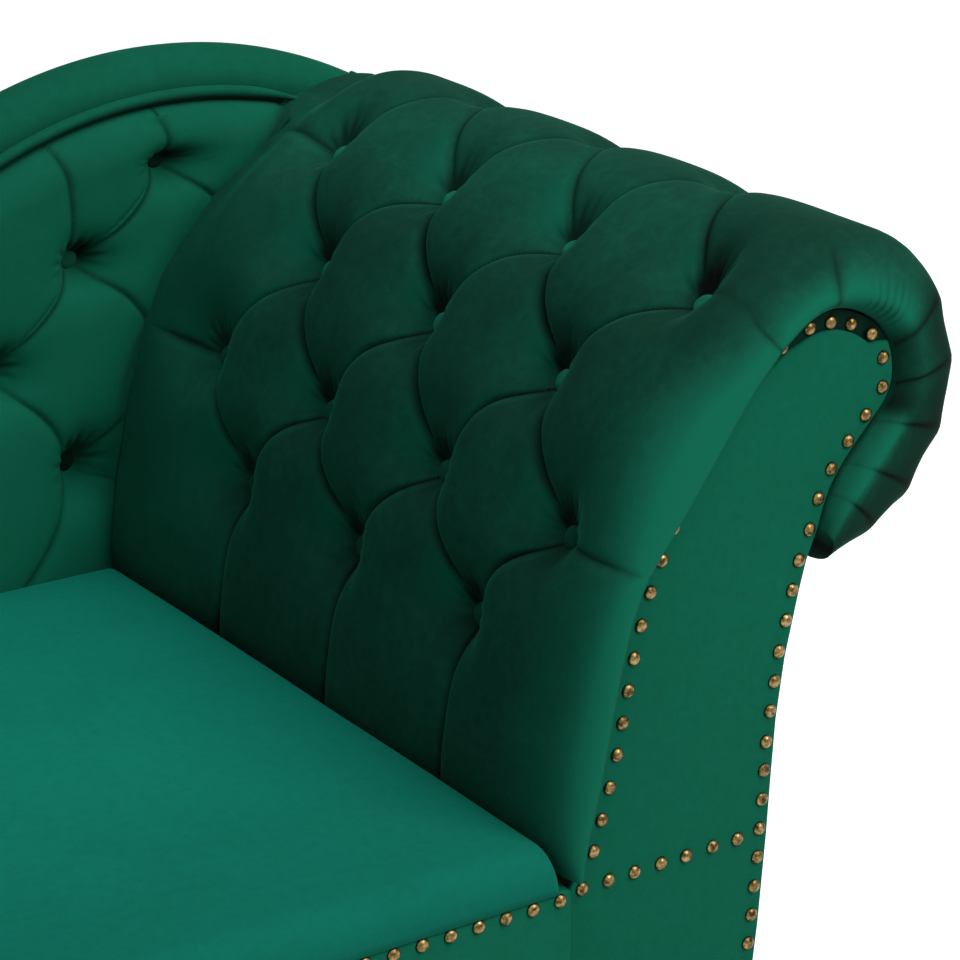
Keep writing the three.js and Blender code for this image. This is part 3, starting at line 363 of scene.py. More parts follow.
@dataclass(frozen=True)
class RollLine:
    """Middle line of the back's top roll: over the hump, down the sweep and along the low end."""

    # radius and centre of the hump's arc
    hump_radius: float = 370
    hump_x: float = 60
    hump_rise: float = 23
    # height of the low stretch, how far it goes towards the foot, and how it turns down there
    low_rise: float = 170
    low_end: float = 830
    end_radius: float = 70
    # where the hump goes over into the sweep, in radians from its top
    angle: float = math.pi / 4

    @property
    def sweep_radius(self) -> float:
        """Radius of the sweep that joins the hump to the low stretch."""
        cosine = math.cos(self.angle)
        return (self.hump_rise + self.hump_radius * cosine - self.low_rise) / (1 - cosine)

    @property
    def sweep_x(self) -> float:
        """Where the sweep's centre lies along the couch."""
        return self.hump_x - (self.hump_radius + self.sweep_radius) * math.sin(self.angle)

    @property
    def sweep_rise(self) -> float:
        """How high the sweep's centre lies."""
        return self.hump_rise + (self.hump_radius + self.sweep_radius) * math.cos(self.angle)

    def points(self, inset: float, start_angle: float, foot_z: float, step: float = 9) -> list[tuple[float, float]]:
        """Walk the line, moved in towards the board.

        Args:
            inset: How far below the middle line.
            start_angle: Radians past the hump's top where it begins.
            foot_z: Height that the low end goes down to.
            step: Length between two points.

        Returns:
            x and z of each point.
        """
        found: list[tuple[float, float]] = []

        def arc(cx: float, cz: float, radius: float, first: float, last: float) -> None:
            """Add the points of an arc, whose angle is measured from straight up."""
            count = max(2, round(abs(last - first) * abs(radius) / step))
            for i in range(count):
                angle = lerp(first, last, i / count)
                found.append((cx + radius * math.sin(angle), cz + radius * math.cos(angle)))

        arc(self.hump_x, self.hump_rise, self.hump_radius - inset, start_angle, -self.angle)
        arc(self.sweep_x, self.sweep_rise, -(self.sweep_radius + inset), -self.angle, 0)
        low = self.low_rise - inset
        count = round((self.low_end + self.sweep_x) / step)
        for i in range(count):
            found.append((lerp(self.sweep_x, -self.low_end, i / count), low))
        radius = self.end_radius - inset
        arc(-self.low_end, low - radius, radius, 0, -math.pi / 2)
        end_x = -self.low_end - radius
        drop = low - radius - foot_z
        for i in range(9):
            found.append((end_x, low - radius - drop * i / 8))
        return found

    def rise_at(self, x: Numbers) -> Numbers:
        """Return the height of the middle line over a place along the couch."""
        hump = self.hump_rise + np.sqrt(np.maximum(self.hump_radius**2 - (x - self.hump_x) ** 2, 0))
        sweep = self.sweep_rise - np.sqrt(np.maximum(self.sweep_radius**2 - (x - self.sweep_x) ** 2, 0))
        over = np.maximum(-self.low_end - x, 0)
        low = self.low_rise - self.end_radius + np.sqrt(np.maximum(self.end_radius**2 - over**2, 0))
        on_hump = x > self.hump_x - self.hump_radius * math.sin(self.angle)
        return np.where(on_hump, hump, np.where(x > self.sweep_x, sweep, low))


# ---- Mesh making


def grid_skin(bench: Bench, rows: int, columns: int, place: Place) -> Mesh:
    """Shape a grid into a sheet.

    Args:
        bench: The bench the places are measured on.
        rows: Cells along the first direction.
        columns: Cells along the second direction.
        place: Gives x, y and z for rows of two shares from 0 to 1, and as a fourth row, where there is one,
        painted light and shade: above 0 a painted highlight, below 0 painted shade.

    Returns:
        The sheet.
    """
    mesh = bmesh.new()
    bmesh.ops.create_grid(mesh, x_segments=rows, y_segments=columns, size=1)
    flat = np.array([vert.co[:2] for vert in mesh.verts])
    u = np.round((flat[:, 0] + 1) / 2 * rows) / rows
    v = np.round((flat[:, 1] + 1) / 2 * columns) / columns
    made = np.stack(np.broadcast_arrays(*place(u, v)), axis=1)
    for vert, spot in zip(mesh.verts, made[:, :3] * MM + np.array(bench.origin)):
        vert.co = spot
    # a fourth row holds the painted light and shade of each point
    if made.shape[1] > 3:
        pile_and_painted_light = mesh.verts.layers.float.new("pile_and_painted_light")
        for vert, painted_light_amount in zip(mesh.verts, made[:, 3]):
            vert[pile_and_painted_light] = painted_light_amount
    return mesh


def paint_light_by_facing(mesh: Mesh, light: float, shade: float) -> Mesh:
    """Paint light and shade on a pad's slopes by the way they face: a painted highlight where they face forwards,
    painted shade where they face up or to the head side.

    Args:
        mesh: The pad, whose points hold their painted light and shade.
        light: How much painted light goes on cloth that faces forwards.
        shade: How much painted shade goes on cloth that faces up or to the head side.

    Returns:
        The same mesh.
    """
    mesh.normal_update()
    pile_and_painted_light = mesh.verts.layers.float["pile_and_painted_light"]
    for vert in mesh.verts:
        # painted highlight on cloth that faces forwards, painted shade on cloth that faces up or to the head side
        ahead = max(-vert.normal.y, 0) * (1 - min(max(2 * vert.normal.x, 0), 1))
        ahead = ahead**1.7 * max(1 - 1.45 * max(vert.normal.z, 0), 0)
        free = min(max(1 + vert[pile_and_painted_light], 0), 1) ** 2
        vert[pile_and_painted_light] += light * ahead * free - shade * max(vert.normal.x, 0.9 * vert.normal.z, 0)
    return mesh


def paint_shade_over(mesh: Mesh, amount: float) -> Mesh:
    """Paint shade over a whole piece that lies in a groove or a hollow.

    Args:
        mesh: The piece.
        amount: How much painted shade it gets.

    Returns:
        The same mesh.
    """
    pile_and_painted_light = mesh.verts.layers.float.new("pile_and_painted_light")
    # painted shade, the same on every point
    for vert in mesh.verts:
        vert[pile_and_painted_light] = -amount
    return mesh


def shade_below(mesh: Mesh, amount: float) -> Mesh:
    """Paint shade on the underside of a roll, which no lamp reaches.

    Args:
        mesh: The roll.
        amount: How much darker it shows where it faces straight down.

    Returns:
        The same mesh.
    """
    mesh.normal_update()
    pile_and_painted_light = mesh.verts.layers.float.new("pile_and_painted_light")
    for vert in mesh.verts:
        # painted shade where the roll faces down
        vert[pile_and_painted_light] = -amount * min(max(0.4 - vert.normal.z, 0), 1)
    return mesh


def close_skin(mesh: Mesh) -> Mesh:
    """Weld a rolled-up sheet along its seam, cap its ends and point its faces outwards.

    Args:
        mesh: The sheet, whose second direction runs round the piece.

    Returns:
        The same mesh, closed.
    """
    bmesh.ops.remove_doubles(mesh, verts=mesh.verts, dist=WELD * MM)
    open_edges = [edge for edge in mesh.edges if edge.is_boundary]
    bmesh.ops.holes_fill(mesh, edges=open_edges, sides=0)
    bmesh.ops.recalc_face_normals(mesh, faces=mesh.faces)
    return mesh


def tube(bench: Bench, path: Outline, y: float, radius: Radii, around: int) -> Mesh:
    """Sweep an oval along a path that lies in a plane of one y.

    Args:
        bench: The bench the path is measured on.
        path: x and z of each point.
        y: Where the plane lies.
        radius: Gives the radius in the plane and across it at a share of the path.
        around: Cells round the tube.

    Returns:
        The closed tube.
    """
    last = len(path) - 1
    line = np.array(path, float)
    ahead, behind = line[np.minimum(np.arange(last + 1) + 1, last)], line[np.maximum(np.arange(last + 1) - 1, 0)]
    step = (ahead - behind) / np.linalg.norm(ahead - behind, axis=1)[:, None]

    def place(share: np.ndarray, turn: np.ndarray) -> Points:
        """Return the points of the tube's skin."""
        i = np.round(share * last).astype(int)
        high, wide = radius(share)
        out = high * np.cos(turn * 2 * np.pi)
        return line[i, 0] - step[i, 1] * out, y + wide * np.sin(turn * 2 * np.pi), line[i, 1] + step[i, 0] * out

    return close_skin(grid_skin(bench, last, around, place))


def round_edges(mesh: Mesh, edges: Sequence[bmesh.types.BMEdge], radius: float) -> None:
    """Round edges of a mesh to a radius in mm."""
    bmesh.ops.bevel(
        mesh, geom=edges, offset=radius * MM, affect="EDGES", segments=3, profile=0.5, material=-1, clamp_overlap=True
    )


def panel(bench: Bench, outline: Outline, front: float, back: float, rounding: float) -> Mesh:
    """Cut a panel to an outline in the x-z plane, give it a thickness and round its edges.

    Args:
        bench: The bench the outline is measured on.
        outline: x and z of each corner.
        front: y of the front face.
        back: y of the back face.
        rounding: Radius of the rounded edges.

    Returns:
        The closed panel.
    """
    mesh = bmesh.new()
    corners = [mesh.verts.new(bench.at(x, front, z)) for x, z in outline]
    face = mesh.faces.new(corners)
    made = bmesh.ops.extrude_face_region(mesh, geom=[face])
    moved = [item for item in made["geom"] if isinstance(item, bmesh.types.BMVert)]
    bmesh.ops.translate(mesh, verts=moved, vec=(0, (back - front) * MM, 0))
    bmesh.ops.recalc_face_normals(mesh, faces=mesh.faces)
    rims = [edge for edge in mesh.edges if abs(edge.verts[0].co.y - edge.verts[1].co.y) < MM * 0.01]
    round_edges(mesh, rims, rounding)
    return mesh


def rounded_block(bench: Bench, low: Corner, high: Corner, rounding: float) -> Mesh:
    """Make a block with rounded edges.

    Args:
        bench: The bench it is measured on.
        low: Its lowest x, y and z.
        high: Its highest x, y and z.
        rounding: Radius of its edges.

    Returns:
        The closed block.
    """
    mesh = bmesh.new()
    bmesh.ops.create_cube(mesh, size=1)
    first, last = bench.at(*low), bench.at(*high)
    bmesh.ops.scale(mesh, vec=last - first, verts=mesh.verts)
    bmesh.ops.translate(mesh, vec=(first + last) / 2, verts=mesh.verts)
    round_edges(mesh, list(mesh.edges), rounding)
    return mesh


def spun(bench: Bench, profile: Outline, x: float, y: float, z: float, steps: int) -> Mesh:
    """Turn a profile round a standing axis.

    Args:
        bench: The bench the axis stands on.
        profile: Radius and height of each point, from one end to the other.
        x: Where the axis stands.
        y: Where the axis stands.
        z: Height that the profile's heights start from.
        steps: Cells round the piece.

    Returns:
        The closed turning.
    """
    mesh = bmesh.new()
    verts = [mesh.verts.new(bench.at(x + radius, y, z + height)) for radius, height in profile]
    edges = [mesh.edges.new(pair) for pair in zip(verts, verts[1:])]
    round_turn = {"axis": (0, 0, 1), "angle": 2 * math.pi, "steps": steps, "use_merge": True}
    bmesh.ops.spin(mesh, geom=verts + edges, cent=bench.at(x, y, z), **round_turn)
    return close_skin(mesh)


def new_object(name: str, data: bpy.types.ID) -> bpy.types.Object:
    """Make an object at the origin and link it to the scene."""
    made = bpy.data.objects.new(name, data)
    bpy.context.scene.collection.objects.link(made)
    return made


def set_down(
    name: str, mesh: Mesh, finish: Finish, replaces: Iterable[str] = (), sharp: float | None = None
) -> bpy.types.Object:
    """Make a piece of a mesh and let it ride on the frame.

    Args:
        name: The piece's name.
        mesh: Its mesh, with its place in it.
        finish: Its material.
        replaces: The frame's nodes that it stands for.
        sharp: Angle in degrees past which an edge stays sharp, or None where all is smooth.

    Returns:
        The piece.
    """
    for face in mesh.faces:
        face.smooth = True
    if sharp is not None:
        for edge in mesh.edges:
            edge.smooth = edge.calc_face_angle(0) < math.radians(sharp)
    data = bpy.data.meshes.new(name)
    mesh.to_mesh(data)
    mesh.free()
    data.materials.append(finish)
    piece = new_object(name, data)
    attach(piece, "root")
    if replaces:
        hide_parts(*replaces)
    log.info("%s: %d faces", name, len(data.polygons))
    return piece


# ---- Finishes


def linear(hex_colour: str) -> tuple[float, float, float, float]:
    """Turn an sRGB hex colour into linear light."""
    parts = [int(hex_colour[i : i + 2], 16) / 255 for i in (1, 3, 5)]
    return (*(c / 12.92 if c <= 0.04045 else ((c + 0.055) / 1.055) ** 2.4 for c in parts), 1.0)


def add_node(tree: Tree, kind: str, inputs: dict[str | int, object] | None = None, **settings: object) -> Node:
    """Add a node with its settings and links.

    Args:
        tree: The tree that takes it.
        kind: The node's type.
        inputs: A value or another node's output for each named or numbered socket.
        **settings: The node's own properties.

    Returns:
        The node.
    """
    node = tree.nodes.new(kind)
    for key, value in settings.items():
        setattr(node, key, value)
    for key, value in (inputs or {}).items():
        if isinstance(value, Socket):
            tree.links.new(value, node.inputs[key])
        else:
            node.inputs[key].default_value = value
    return node


def add_noise(
    tree: Tree, where: Socket, size_mm: float, detail: float, roughness: float = 0.5, distortion: float = 0
) -> Node:
    """Add noise whose features have a size in mm.

    Args:
        tree: The tree that takes it.
        where: The coordinates.
        size_mm: Size of its features.
        detail: How many finer layers it has.
        roughness: How strong those layers are.
        distortion: How much it is drawn about.

    Returns:
        The noise.
    """
    inputs = {"Vector": where, "Scale": 1 / (size_mm * MM), "Detail": detail}
    return add_node(tree, "ShaderNodeTexNoise", {**inputs, "Roughness": roughness, "Distortion": distortion})


def add_sum(tree: Tree, operation: str, first: Socket, second: Socket | float, clamped: bool = False) -> Socket:
    """Add a sum of two numbers and return its result."""
    return add_node(tree, "ShaderNodeMath", {0: first, 1: second}, operation=operation, use_clamp=clamped).outputs[0]


def add_mix(tree: Tree, share: Socket | float, low: Socket, high: Socket | Points, blend: str = "MIX") -> Socket:
    """Add a mix of two colours and return its result."""
    colours = {0: share, 6: low, 7: high}
    return add_node(tree, "ShaderNodeMix", colours, data_type="RGBA", blend_type=blend).outputs[2]


def add_bump(tree: Tree, height: Socket, strength: float, depth_mm: float) -> Socket:
    """Add small relief of a depth in mm and return its normals."""
    inputs = {"Height": height, "Strength": strength, "Distance": depth_mm * MM}
    return add_node(tree, "ShaderNodeBump", inputs).outputs["Normal"]


def add_seen(tree: Tree) -> tuple[Node, Socket]:
    """Add what tells the rays that look at a thing from those that light it.

    Args:
        tree: The tree that takes it.

    Returns:
        The kinds of ray, and an output that is 1 for the camera and for reflections.
    """
    path = add_node(tree, "ShaderNodeLightPath")
    return path, add_sum(tree, "MAXIMUM", path.outputs["Is Camera Ray"], path.outputs["Is Glossy Ray"])


def add_ramp(tree: Tree, share: Socket, stops: Sequence[tuple[float, str]]) -> Socket:
    """Add a colour ramp.

    Args:
        tree: The tree that takes it.
        share: The output that drives it.
        stops: Where each colour lies, and its sRGB hex value.

    Returns:
        The ramp's colour.
    """
    ramp = add_node(tree, "ShaderNodeValToRGB", {"Fac": share})
    elements = ramp.color_ramp.elements
    while len(elements) < len(stops):
        elements.new(0.5)
    for element, (at, colour) in zip(elements, stops):
        element.position = at
        element.color = linear(colour)
    return ramp.outputs["Color"]


def new_tree(name: str) -> tuple[Finish, Tree, Socket]:
    """Start a material.

    Args:
        name: Its name.

    Returns:
        The material, its empty node tree and the Object coordinates.
    """
    material = bpy.data.materials.new(name)
    material.use_nodes = True
    tree = material.node_tree
    tree.nodes.clear()
    where = add_node(tree, "ShaderNodeTexCoord").outputs["Object"]
    return material, tree, where


def finish_tree(tree: Tree, inputs: dict[str, object]) -> None:
    """Add the principled shader with its inputs and the material's output."""
    shader = add_node(tree, "ShaderNodeBsdfPrincipled", inputs)
    add_node(tree, "ShaderNodeOutputMaterial", {"Surface": shader.outputs[0]})


@dataclass(frozen=True)
class Velvet:
    """Cut-pile polyester velvet: deep where the pile faces the eye, and bright where light grazes its tips."""

    name: str
    # the pile stroked away from the eye, left as it is, and stroked towards it
    pressed_and_painted_shade: str
    body: str
    brushed: str
    # painted highlight on a slope turned to the light, and painted shade at the bottom of a crease
    painted_highlight: str = "#0f6852"
    painted_shade_colour: str = "#060e0a"
    mottle_mm: float = 60
    streak_mm: float = 8
    # how far from the noise's middle the outer two colours are reached
    crush: float = 0.4
    sheen: float = 0.22
    sheen_tint: str = "#1fa583"
    pile_mm: float = 1.6

    def material(self) -> Finish:
        """Make the material.

        Returns:
            Velvet whose pile leans one way here and another there, in soft-edged areas a hand's breadth wide.
        """
        material, tree, where = new_tree(self.name)
        # areas where the pile was stroked one way or the other
        broad = add_noise(tree, where, self.mottle_mm, detail=3, roughness=0.55, distortion=0.6)
        # finger marks and short streaks in the pile
        streak = add_noise(tree, where, self.streak_mm, detail=2, roughness=0.6, distortion=0.3)
        # tufts of pile; real ones are under 0.5 mm and wouldn't show, so they are drawn coarser
        pile_and_painted_light = add_noise(tree, where, self.pile_mm, detail=1, roughness=0.7)
        both = add_sum(tree, "ADD", broad.outputs["Fac"], streak.outputs["Fac"])
        stops = [(0.5 - self.crush, self.pressed_and_painted_shade), (0.5, self.body), (0.5 + self.crush, self.brushed)]
        tone = add_ramp(tree, add_sum(tree, "MULTIPLY", both, 0.5), stops)
        grain = add_mix(tree, 0.1, tone, pile_and_painted_light.outputs["Color"], "OVERLAY")
        # painted light and shade from the pads' points: a painted highlight on slopes turned to the light, painted
        # shade in creases and hollows
        painted_light_amount = add_node(tree, "ShaderNodeAttribute", attribute_name="pile_and_painted_light").outputs["Fac"]
        with_painted_highlight = add_mix(tree, painted_light_amount, grain, linear(self.painted_highlight))
        pressed_and_painted_shade = add_sum(tree, "MULTIPLY", painted_light_amount, -1, clamped=True)
        finish_tree(
            tree,
            {
                "Base Color": add_mix(tree, pressed_and_painted_shade, with_painted_highlight, linear(self.painted_shade_colour)),
                "Roughness": 0.92,
                "Specular IOR Level": 0.06,
                "Sheen Weight": self.sheen,
                "Sheen Roughness": 0.28,
                "Sheen Tint": linear(self.sheen_tint),
                "Normal": add_bump(tree, pile_and_painted_light.outputs["Fac"], strength=0.22, depth_mm=0.4),
            },
        )
        return material


@dataclass(frozen=True)
class AntiqueBrass:
    """Plated steel nail heads, antiqued: a dark brown wash stays in the low places and the domes are rubbed bright."""

    name: str = "antique brass plated steel"
    wash_mm: float = 3.5

    def material(self) -> Finish:
        """Make the material.

        Returns:
            Metal with dark patches a millimetre or two across.
        """
        material, tree, where = new_tree(self.name)
        wash = add_noise(tree, where, self.wash_mm, detail=3, roughness=0.6).outputs["Fac"]
        tone = add_ramp(tree, wash, [(0.36, "#33291a"), (0.5, "#6d5b36"), (0.68, "#9c855a")])
        polish = {"Value": wash, "From Min": 0.3, "From Max": 0.7, "To Min": 0.42, "To Max": 0.24}
        rough = add_node(tree, "ShaderNodeMapRange", polish).outputs["Result"]
        finish_tree(tree, {"Base Color": tone, "Metallic": 1.0, "Roughness": rough})
        return material


@dataclass(frozen=True)
class Timber:
    """Wood with its grain along one axis: pale sawn softwood, plywood or a dark stained turning."""

    name: str
    early: str
    late: str
    ring_mm: float
    # how fast the grain changes along each axis: slowly along the piece
    along: tuple[float, float, float]
    roughness: float
    coat: float = 0.0
    pore_mm: float = 1.2

    def material(self) -> Finish:
        """Make the material.

        Returns:
            Wood with growth rings stretched along its grain and fine pores between them.
        """
        material, tree, where = new_tree(self.name)
        stretched = add_node(tree, "ShaderNodeMapping", {"Vector": where, "Scale": self.along})
        rings = add_noise(tree, stretched.outputs[0], self.ring_mm, detail=4, distortion=1.4)
        pores = add_noise(tree, stretched.outputs[0], self.pore_mm, detail=2, roughness=0.7)
        both = add_node(tree, "ShaderNodeMix", {0: 0.3, 2: rings.outputs["Fac"], 3: pores.outputs["Fac"]})
        finish_tree(
            tree,
            {
                "Base Color": add_ramp(tree, both.outputs[0], [(0.38, self.late), (0.6, self.early)]),
                "Roughness": self.roughness,
                "Coat Weight": self.coat,
                "Coat Roughness": 0.18,
                "Normal": add_bump(tree, pores.outputs["Fac"], strength=0.25, depth_mm=0.3),
            },
        )
        return material


@dataclass(frozen=True)
class Weave:
    """A thin cloth or webbing with two sets of ribs: woven threads, or the grid pressed into a non-woven."""

    name: str
    dark: str
    light: str
    thread_mm: float
    roughness: float = 0.95

    def material(self) -> Finish:
        """Make the material.

        Returns:
            Cloth whose threads show as fine crossing ribs.
        """
        material, tree, where = new_tree(self.name)
        # a wave node's bands repeat every pi / 10 at a scale of 1, and a thread is half of that
        scale = 1 / (self.thread_mm * MM) * math.pi / 20
        waves = {"Vector": where, "Scale": scale, "Distortion": 0.6}
        warp, weft = (add_node(tree, "ShaderNodeTexWave", waves, bands_direction=way) for way in "XY")
        crossing = add_sum(tree, "MULTIPLY", warp.outputs["Fac"], weft.outputs["Fac"])
        tone = add_ramp(tree, crossing, [(0.1, self.dark), (0.8, self.light)])
        relief = add_bump(tree, crossing, strength=0.4, depth_mm=0.4)
        finish_tree(tree, {"Base Color": tone, "Roughness": self.roughness, "Normal": relief})
        return material


@dataclass(frozen=True)
class Speckled:
    """A plain finish with a fine grain, such as zinc plate."""

    name: str
    dark: str
    light: str
    grain_mm: float
    roughness: float
    metallic: float = 0.0

    def material(self) -> Finish:
        """Make the material.

        Returns:
            The finish, with a faint change of tone from grain to grain.
        """
        material, tree, where = new_tree(self.name)
        grain = add_noise(tree, where, self.grain_mm, detail=3)
        tone = add_ramp(tree, grain.outputs["Fac"], [(0.35, self.dark), (0.65, self.light)])
        finish_tree(tree, {"Base Color": tone, "Roughness": self.roughness, "Metallic": self.metallic})
        return material


# ---- Sub-assemblies


@dataclass
class Arm:
    """The rolled arm: tufted pad, covered buttons, front facing and outside panel."""

    bench: Bench
    scroll: Scroll
    tufts: ArmTufts
    swell: Swell = Swell()
    # y of the pad's front and rear, and radius of its rolled front edge
    pad_front: float = -12
    pad_rear: float = 641
    front_rounding: float = 38
    button_radius: float = 8.7
    button_dome: float = 4.2
    shank: float = 20
    # how far a button stands off its seat and the pad's inside off the wood, as shares of the pad's thickness
    button_seat: float = 0.075
    inner: float = 0.035
    # length of the pad's cells from front to rear, and their number along the scroll
    cell: float = 2.1
    rows: int = 640
    facing_depth: float = 6
    outside_y: tuple[float, float] = (6.4, 654.4)
    # how far the facing's cloth is drawn in under the roll, by place of the scroll, and how deep that groove is
    groove: tuple[tuple[float, float], ...] = (
        (6.5, 0),
        (7.4, 6),
        (8.6, 10),
        (9.6, 12),
        (10.6, 14),
        (11.6, 13),
        (13.1, 13.5),
        (13.6, 11),
        (14.0, 0),
    )
    groove_depth: float = 3
    # the groove's nails lie below this x and above this z
    groove_end: tuple[float, float] = (226, 300)

    def on_grid(self, y: np.ndarray, line: np.ndarray) -> Points:
        """Return the place across, and it and the line held within the grid of buttons."""
        across = (y - self.tufts.first_button) / self.tufts.half_pitch
        return across, np.clip(across, 0, self.tufts.columns), np.clip(line, 1, self.tufts.lines)

    def holds_button(self, a: np.ndarray, l: np.ndarray) -> np.ndarray:
        """Tell whether a crossing of two creases holds a button."""
        return (a >= 0) & (a <= self.tufts.columns) & (l >= 1) & (l <= self.tufts.lines)

    def share(self, y: np.ndarray, line: np.ndarray) -> np.ndarray:
        """Return how much of the pad's thickness stands at a place, creases and hollows cut in."""
        across, across_in, line_in = self.on_grid(y, line)
        over_roll = lerp(1, 0.3, ease(3.7, 4.7, line)) + 0.4 * ease(5.6, 6.6, line)
        relief = over_roll * (1 - lerp(0.5, 0.95, ease(3.4, 3.8, line)) * (1 - ease(22, 84, y)))
        level = self.swell.level(across_in + line_in, across_in - line_in, relief)
        seat = np.interp(line_in, range(1, self.tufts.lines + 1), self.tufts.seats)
        width = lerp(1, 0.55, ease(4.1, 4.8, line))
        share = self.swell.pulled(level, across, line, self.holds_button, seat, width)
        # the roll's stuffing is fuller towards the front and on the outside
        rear_growth = 0.07 * ease(4.6, 5.4, line)
        front_growth = np.interp(line, self.tufts.growth_lines, self.tufts.growths)
        share = share * (1 + lerp(front_growth, rear_growth, ease(40, 540, y)))
        # the cloth lies smooth where it is drawn down behind the back pad and under the roll
        smooth = np.interp(line, (2.4, 3.2, 3.7, 4.5, 5.1), (0.88, 0.53, 0.3, 0.34, 0.72))
        return lerp(share, smooth, ease(552, 610, y))

    def painted_crease_shade(self, y: np.ndarray, line: np.ndarray) -> np.ndarray:
        """Return how much painted shade a place gets: most in the creases between the tufts and in the hollows, less
        where a painted highlight goes.
        """
        across, across_in, line_in = self.on_grid(y, line)
        first, second, near = self.swell.in_tuft(across_in + line_in, across_in - line_in)
        at_front = lerp(0.4, 0.9, ease(3.4, 3.8, line)) * (1 - ease(10, 70, y))
        on_roll = (1 - 0.8 * ease(4.2, 5, line)) * (1 - ease(552, 610, y)) * (1 - at_front)
        thin = 0.85 * np.exp(-((near / 0.024) ** 1.3)) * on_roll
        # painted highlight where the cloth turns down to a button, and along each tuft's upper edge
        painted_highlight = 0.95 * np.exp(-((second / 0.17) ** 1.5) - (first / 0.45) ** 2) * ease(0.03, 0.07, second)
        rim = 0.3 * np.exp(-(((1 - first - 0.045) / 0.022) ** 2))
        inside = on_roll * ease(-0.1, 0.3, across) * ease(0.8, 1.2, line)
        shaded = 0.9 * self.swell.shaded(across, line, self.holds_button) * (1 - ease(4.4, 5, line))
        return np.maximum(thin, shaded) - (painted_highlight + rim) * inside

    def gather(self, line: np.ndarray) -> tuple[np.ndarray, np.ndarray]:
        """Return how far the cloth falls in between the pleats gathered round the roll's front, and the pleats.

        Args:
            line: Place along the lines.

        Returns:
            The fall as a share of the pad's thickness, and 1 on each pleat's fold.
        """
        lines = self.tufts.pleat_lines
        along = np.interp(line, lines, range(len(lines))) % 1
        held = ease(lines[0] + 0.25, lines[1] - 0.05, line)
        taut = lerp(0.015, 0.075, ease(5.2, 5.6, line))
        fold = np.exp(-np.minimum(along, 1 - along) / 0.04) * held
        return taut * held * 4 * along * (1 - along) + 0.02 * fold, fold

    def wrinkles(self, turn: np.ndarray, line: np.ndarray) -> np.ndarray:
        """Return the fine wrinkles that fan out at the roll's front, from -1 between them to 1 on them."""
        window = np.exp(-(((line - 5.05) / 0.2) ** 4)) * np.exp(-(((turn + 0.25) / 0.42) ** 2))
        return window * np.sin((line + 0.06 * turn) * 2 * np.pi / 0.075)

    @staticmethod
    def painted_light_and_shade(y: np.ndarray, z: np.ndarray, line: np.ndarray, turn: np.ndarray) -> np.ndarray:
        """Find the painted light and shade, without the creases' painted shade.

        Args:
            y: Place from front to rear.
            z: Height over the nail row.
            line: Place along the lines.
            turn: Angle round the pad's rolled front edge, in radians.

        Returns:
            How bright it is painted: above 0 a painted highlight, below 0 painted shade.
        """
        # painted shade on the roll's outer side, but for a painted highlight on the lip beside the facing
        lip_bright = ease(6.2, 6.5, line) * (1 - ease(-0.45, 0.1, turn))
        net_painted_shade = 0.5 * ease(5.2, 5.6, line) + 0.12 * ease(5.9, 6.2, line) - 1.1 * lip_bright
        # further back that side has less painted shade, and then painted light
        net_painted_shade = net_painted_shade * (1 - 1.4 * ease(60, 200, y))
        # and the tufts next to the facing get a painted highlight
        net_painted_shade = net_painted_shade - 0.45 * (1 - ease(15, 80, y)) * (1 - ease(3.1, 3.7, line))
        # where the pad goes down beside the seat no light comes in
        net_painted_shade = net_painted_shade + 0.75 * np.exp(-np.maximum(z - 38, 0) / 14) * lerp(0.25, 1, ease(150, 520, y))
        # painted light along the roll's crest and over the rear of the pad
        crest = 0.5 * np.exp(-(((line - 4.3) / 0.45) ** 2)) * ease(70, 160, y)
        rear = 0.42 * ease(400, 540, y) * (1 - ease(3.6, 4.4, line))
        return crest + rear - net_painted_shade

    def pad_mesh(self) -> Mesh:
        """Make the tufted pad, rolled over its front edge.

        Returns:
            The closed pad.
        """
        front_cells, back_cells = 20, 24
        outer_cells = round((self.pad_rear - self.pad_front - self.front_rounding) / self.cell)
        total = front_cells + outer_cells + back_cells
        line_low, line_high = -self.tufts.start, self.tufts.last_line + self.tufts.end
        full_y = self.pad_front + self.front_rounding
        under = math.radians(55)

        def place(u: np.ndarray, v: np.ndarray) -> Points:
            """Return the points of the pad's sections, which start at the facing's edge and run to the back."""
            line = lerp(line_low, line_high, u)
            at = self.tufts.place(line, self.scroll.neck)
            j = v * total
            # under the shoulder of the scroll the stuffing bulges over the facing's edge
            overhang = np.exp(-(((at - 8.2) / 2.5) ** 4))
            lip, foot = lerp(0.32, -0.03, overhang), lerp(self.inner, -0.12, overhang)
            turn = lerp(-under, np.pi / 2, np.clip(j / front_cells, 0, 1))
            low_y = lerp(self.pad_front, lerp(2, -0.5, overhang), (1 - np.cos(turn)) / (1 - math.cos(under)))
            low_share = lerp(lip, foot, -np.sin(turn) / math.sin(under))
            round_y = self.pad_front + self.front_rounding * (1 - np.cos(turn))
            face_y = lerp(full_y, self.pad_rear, np.clip((j - front_cells) / outer_cells, 0, 1))
            y_out = np.where(j < front_cells, round_y, face_y)
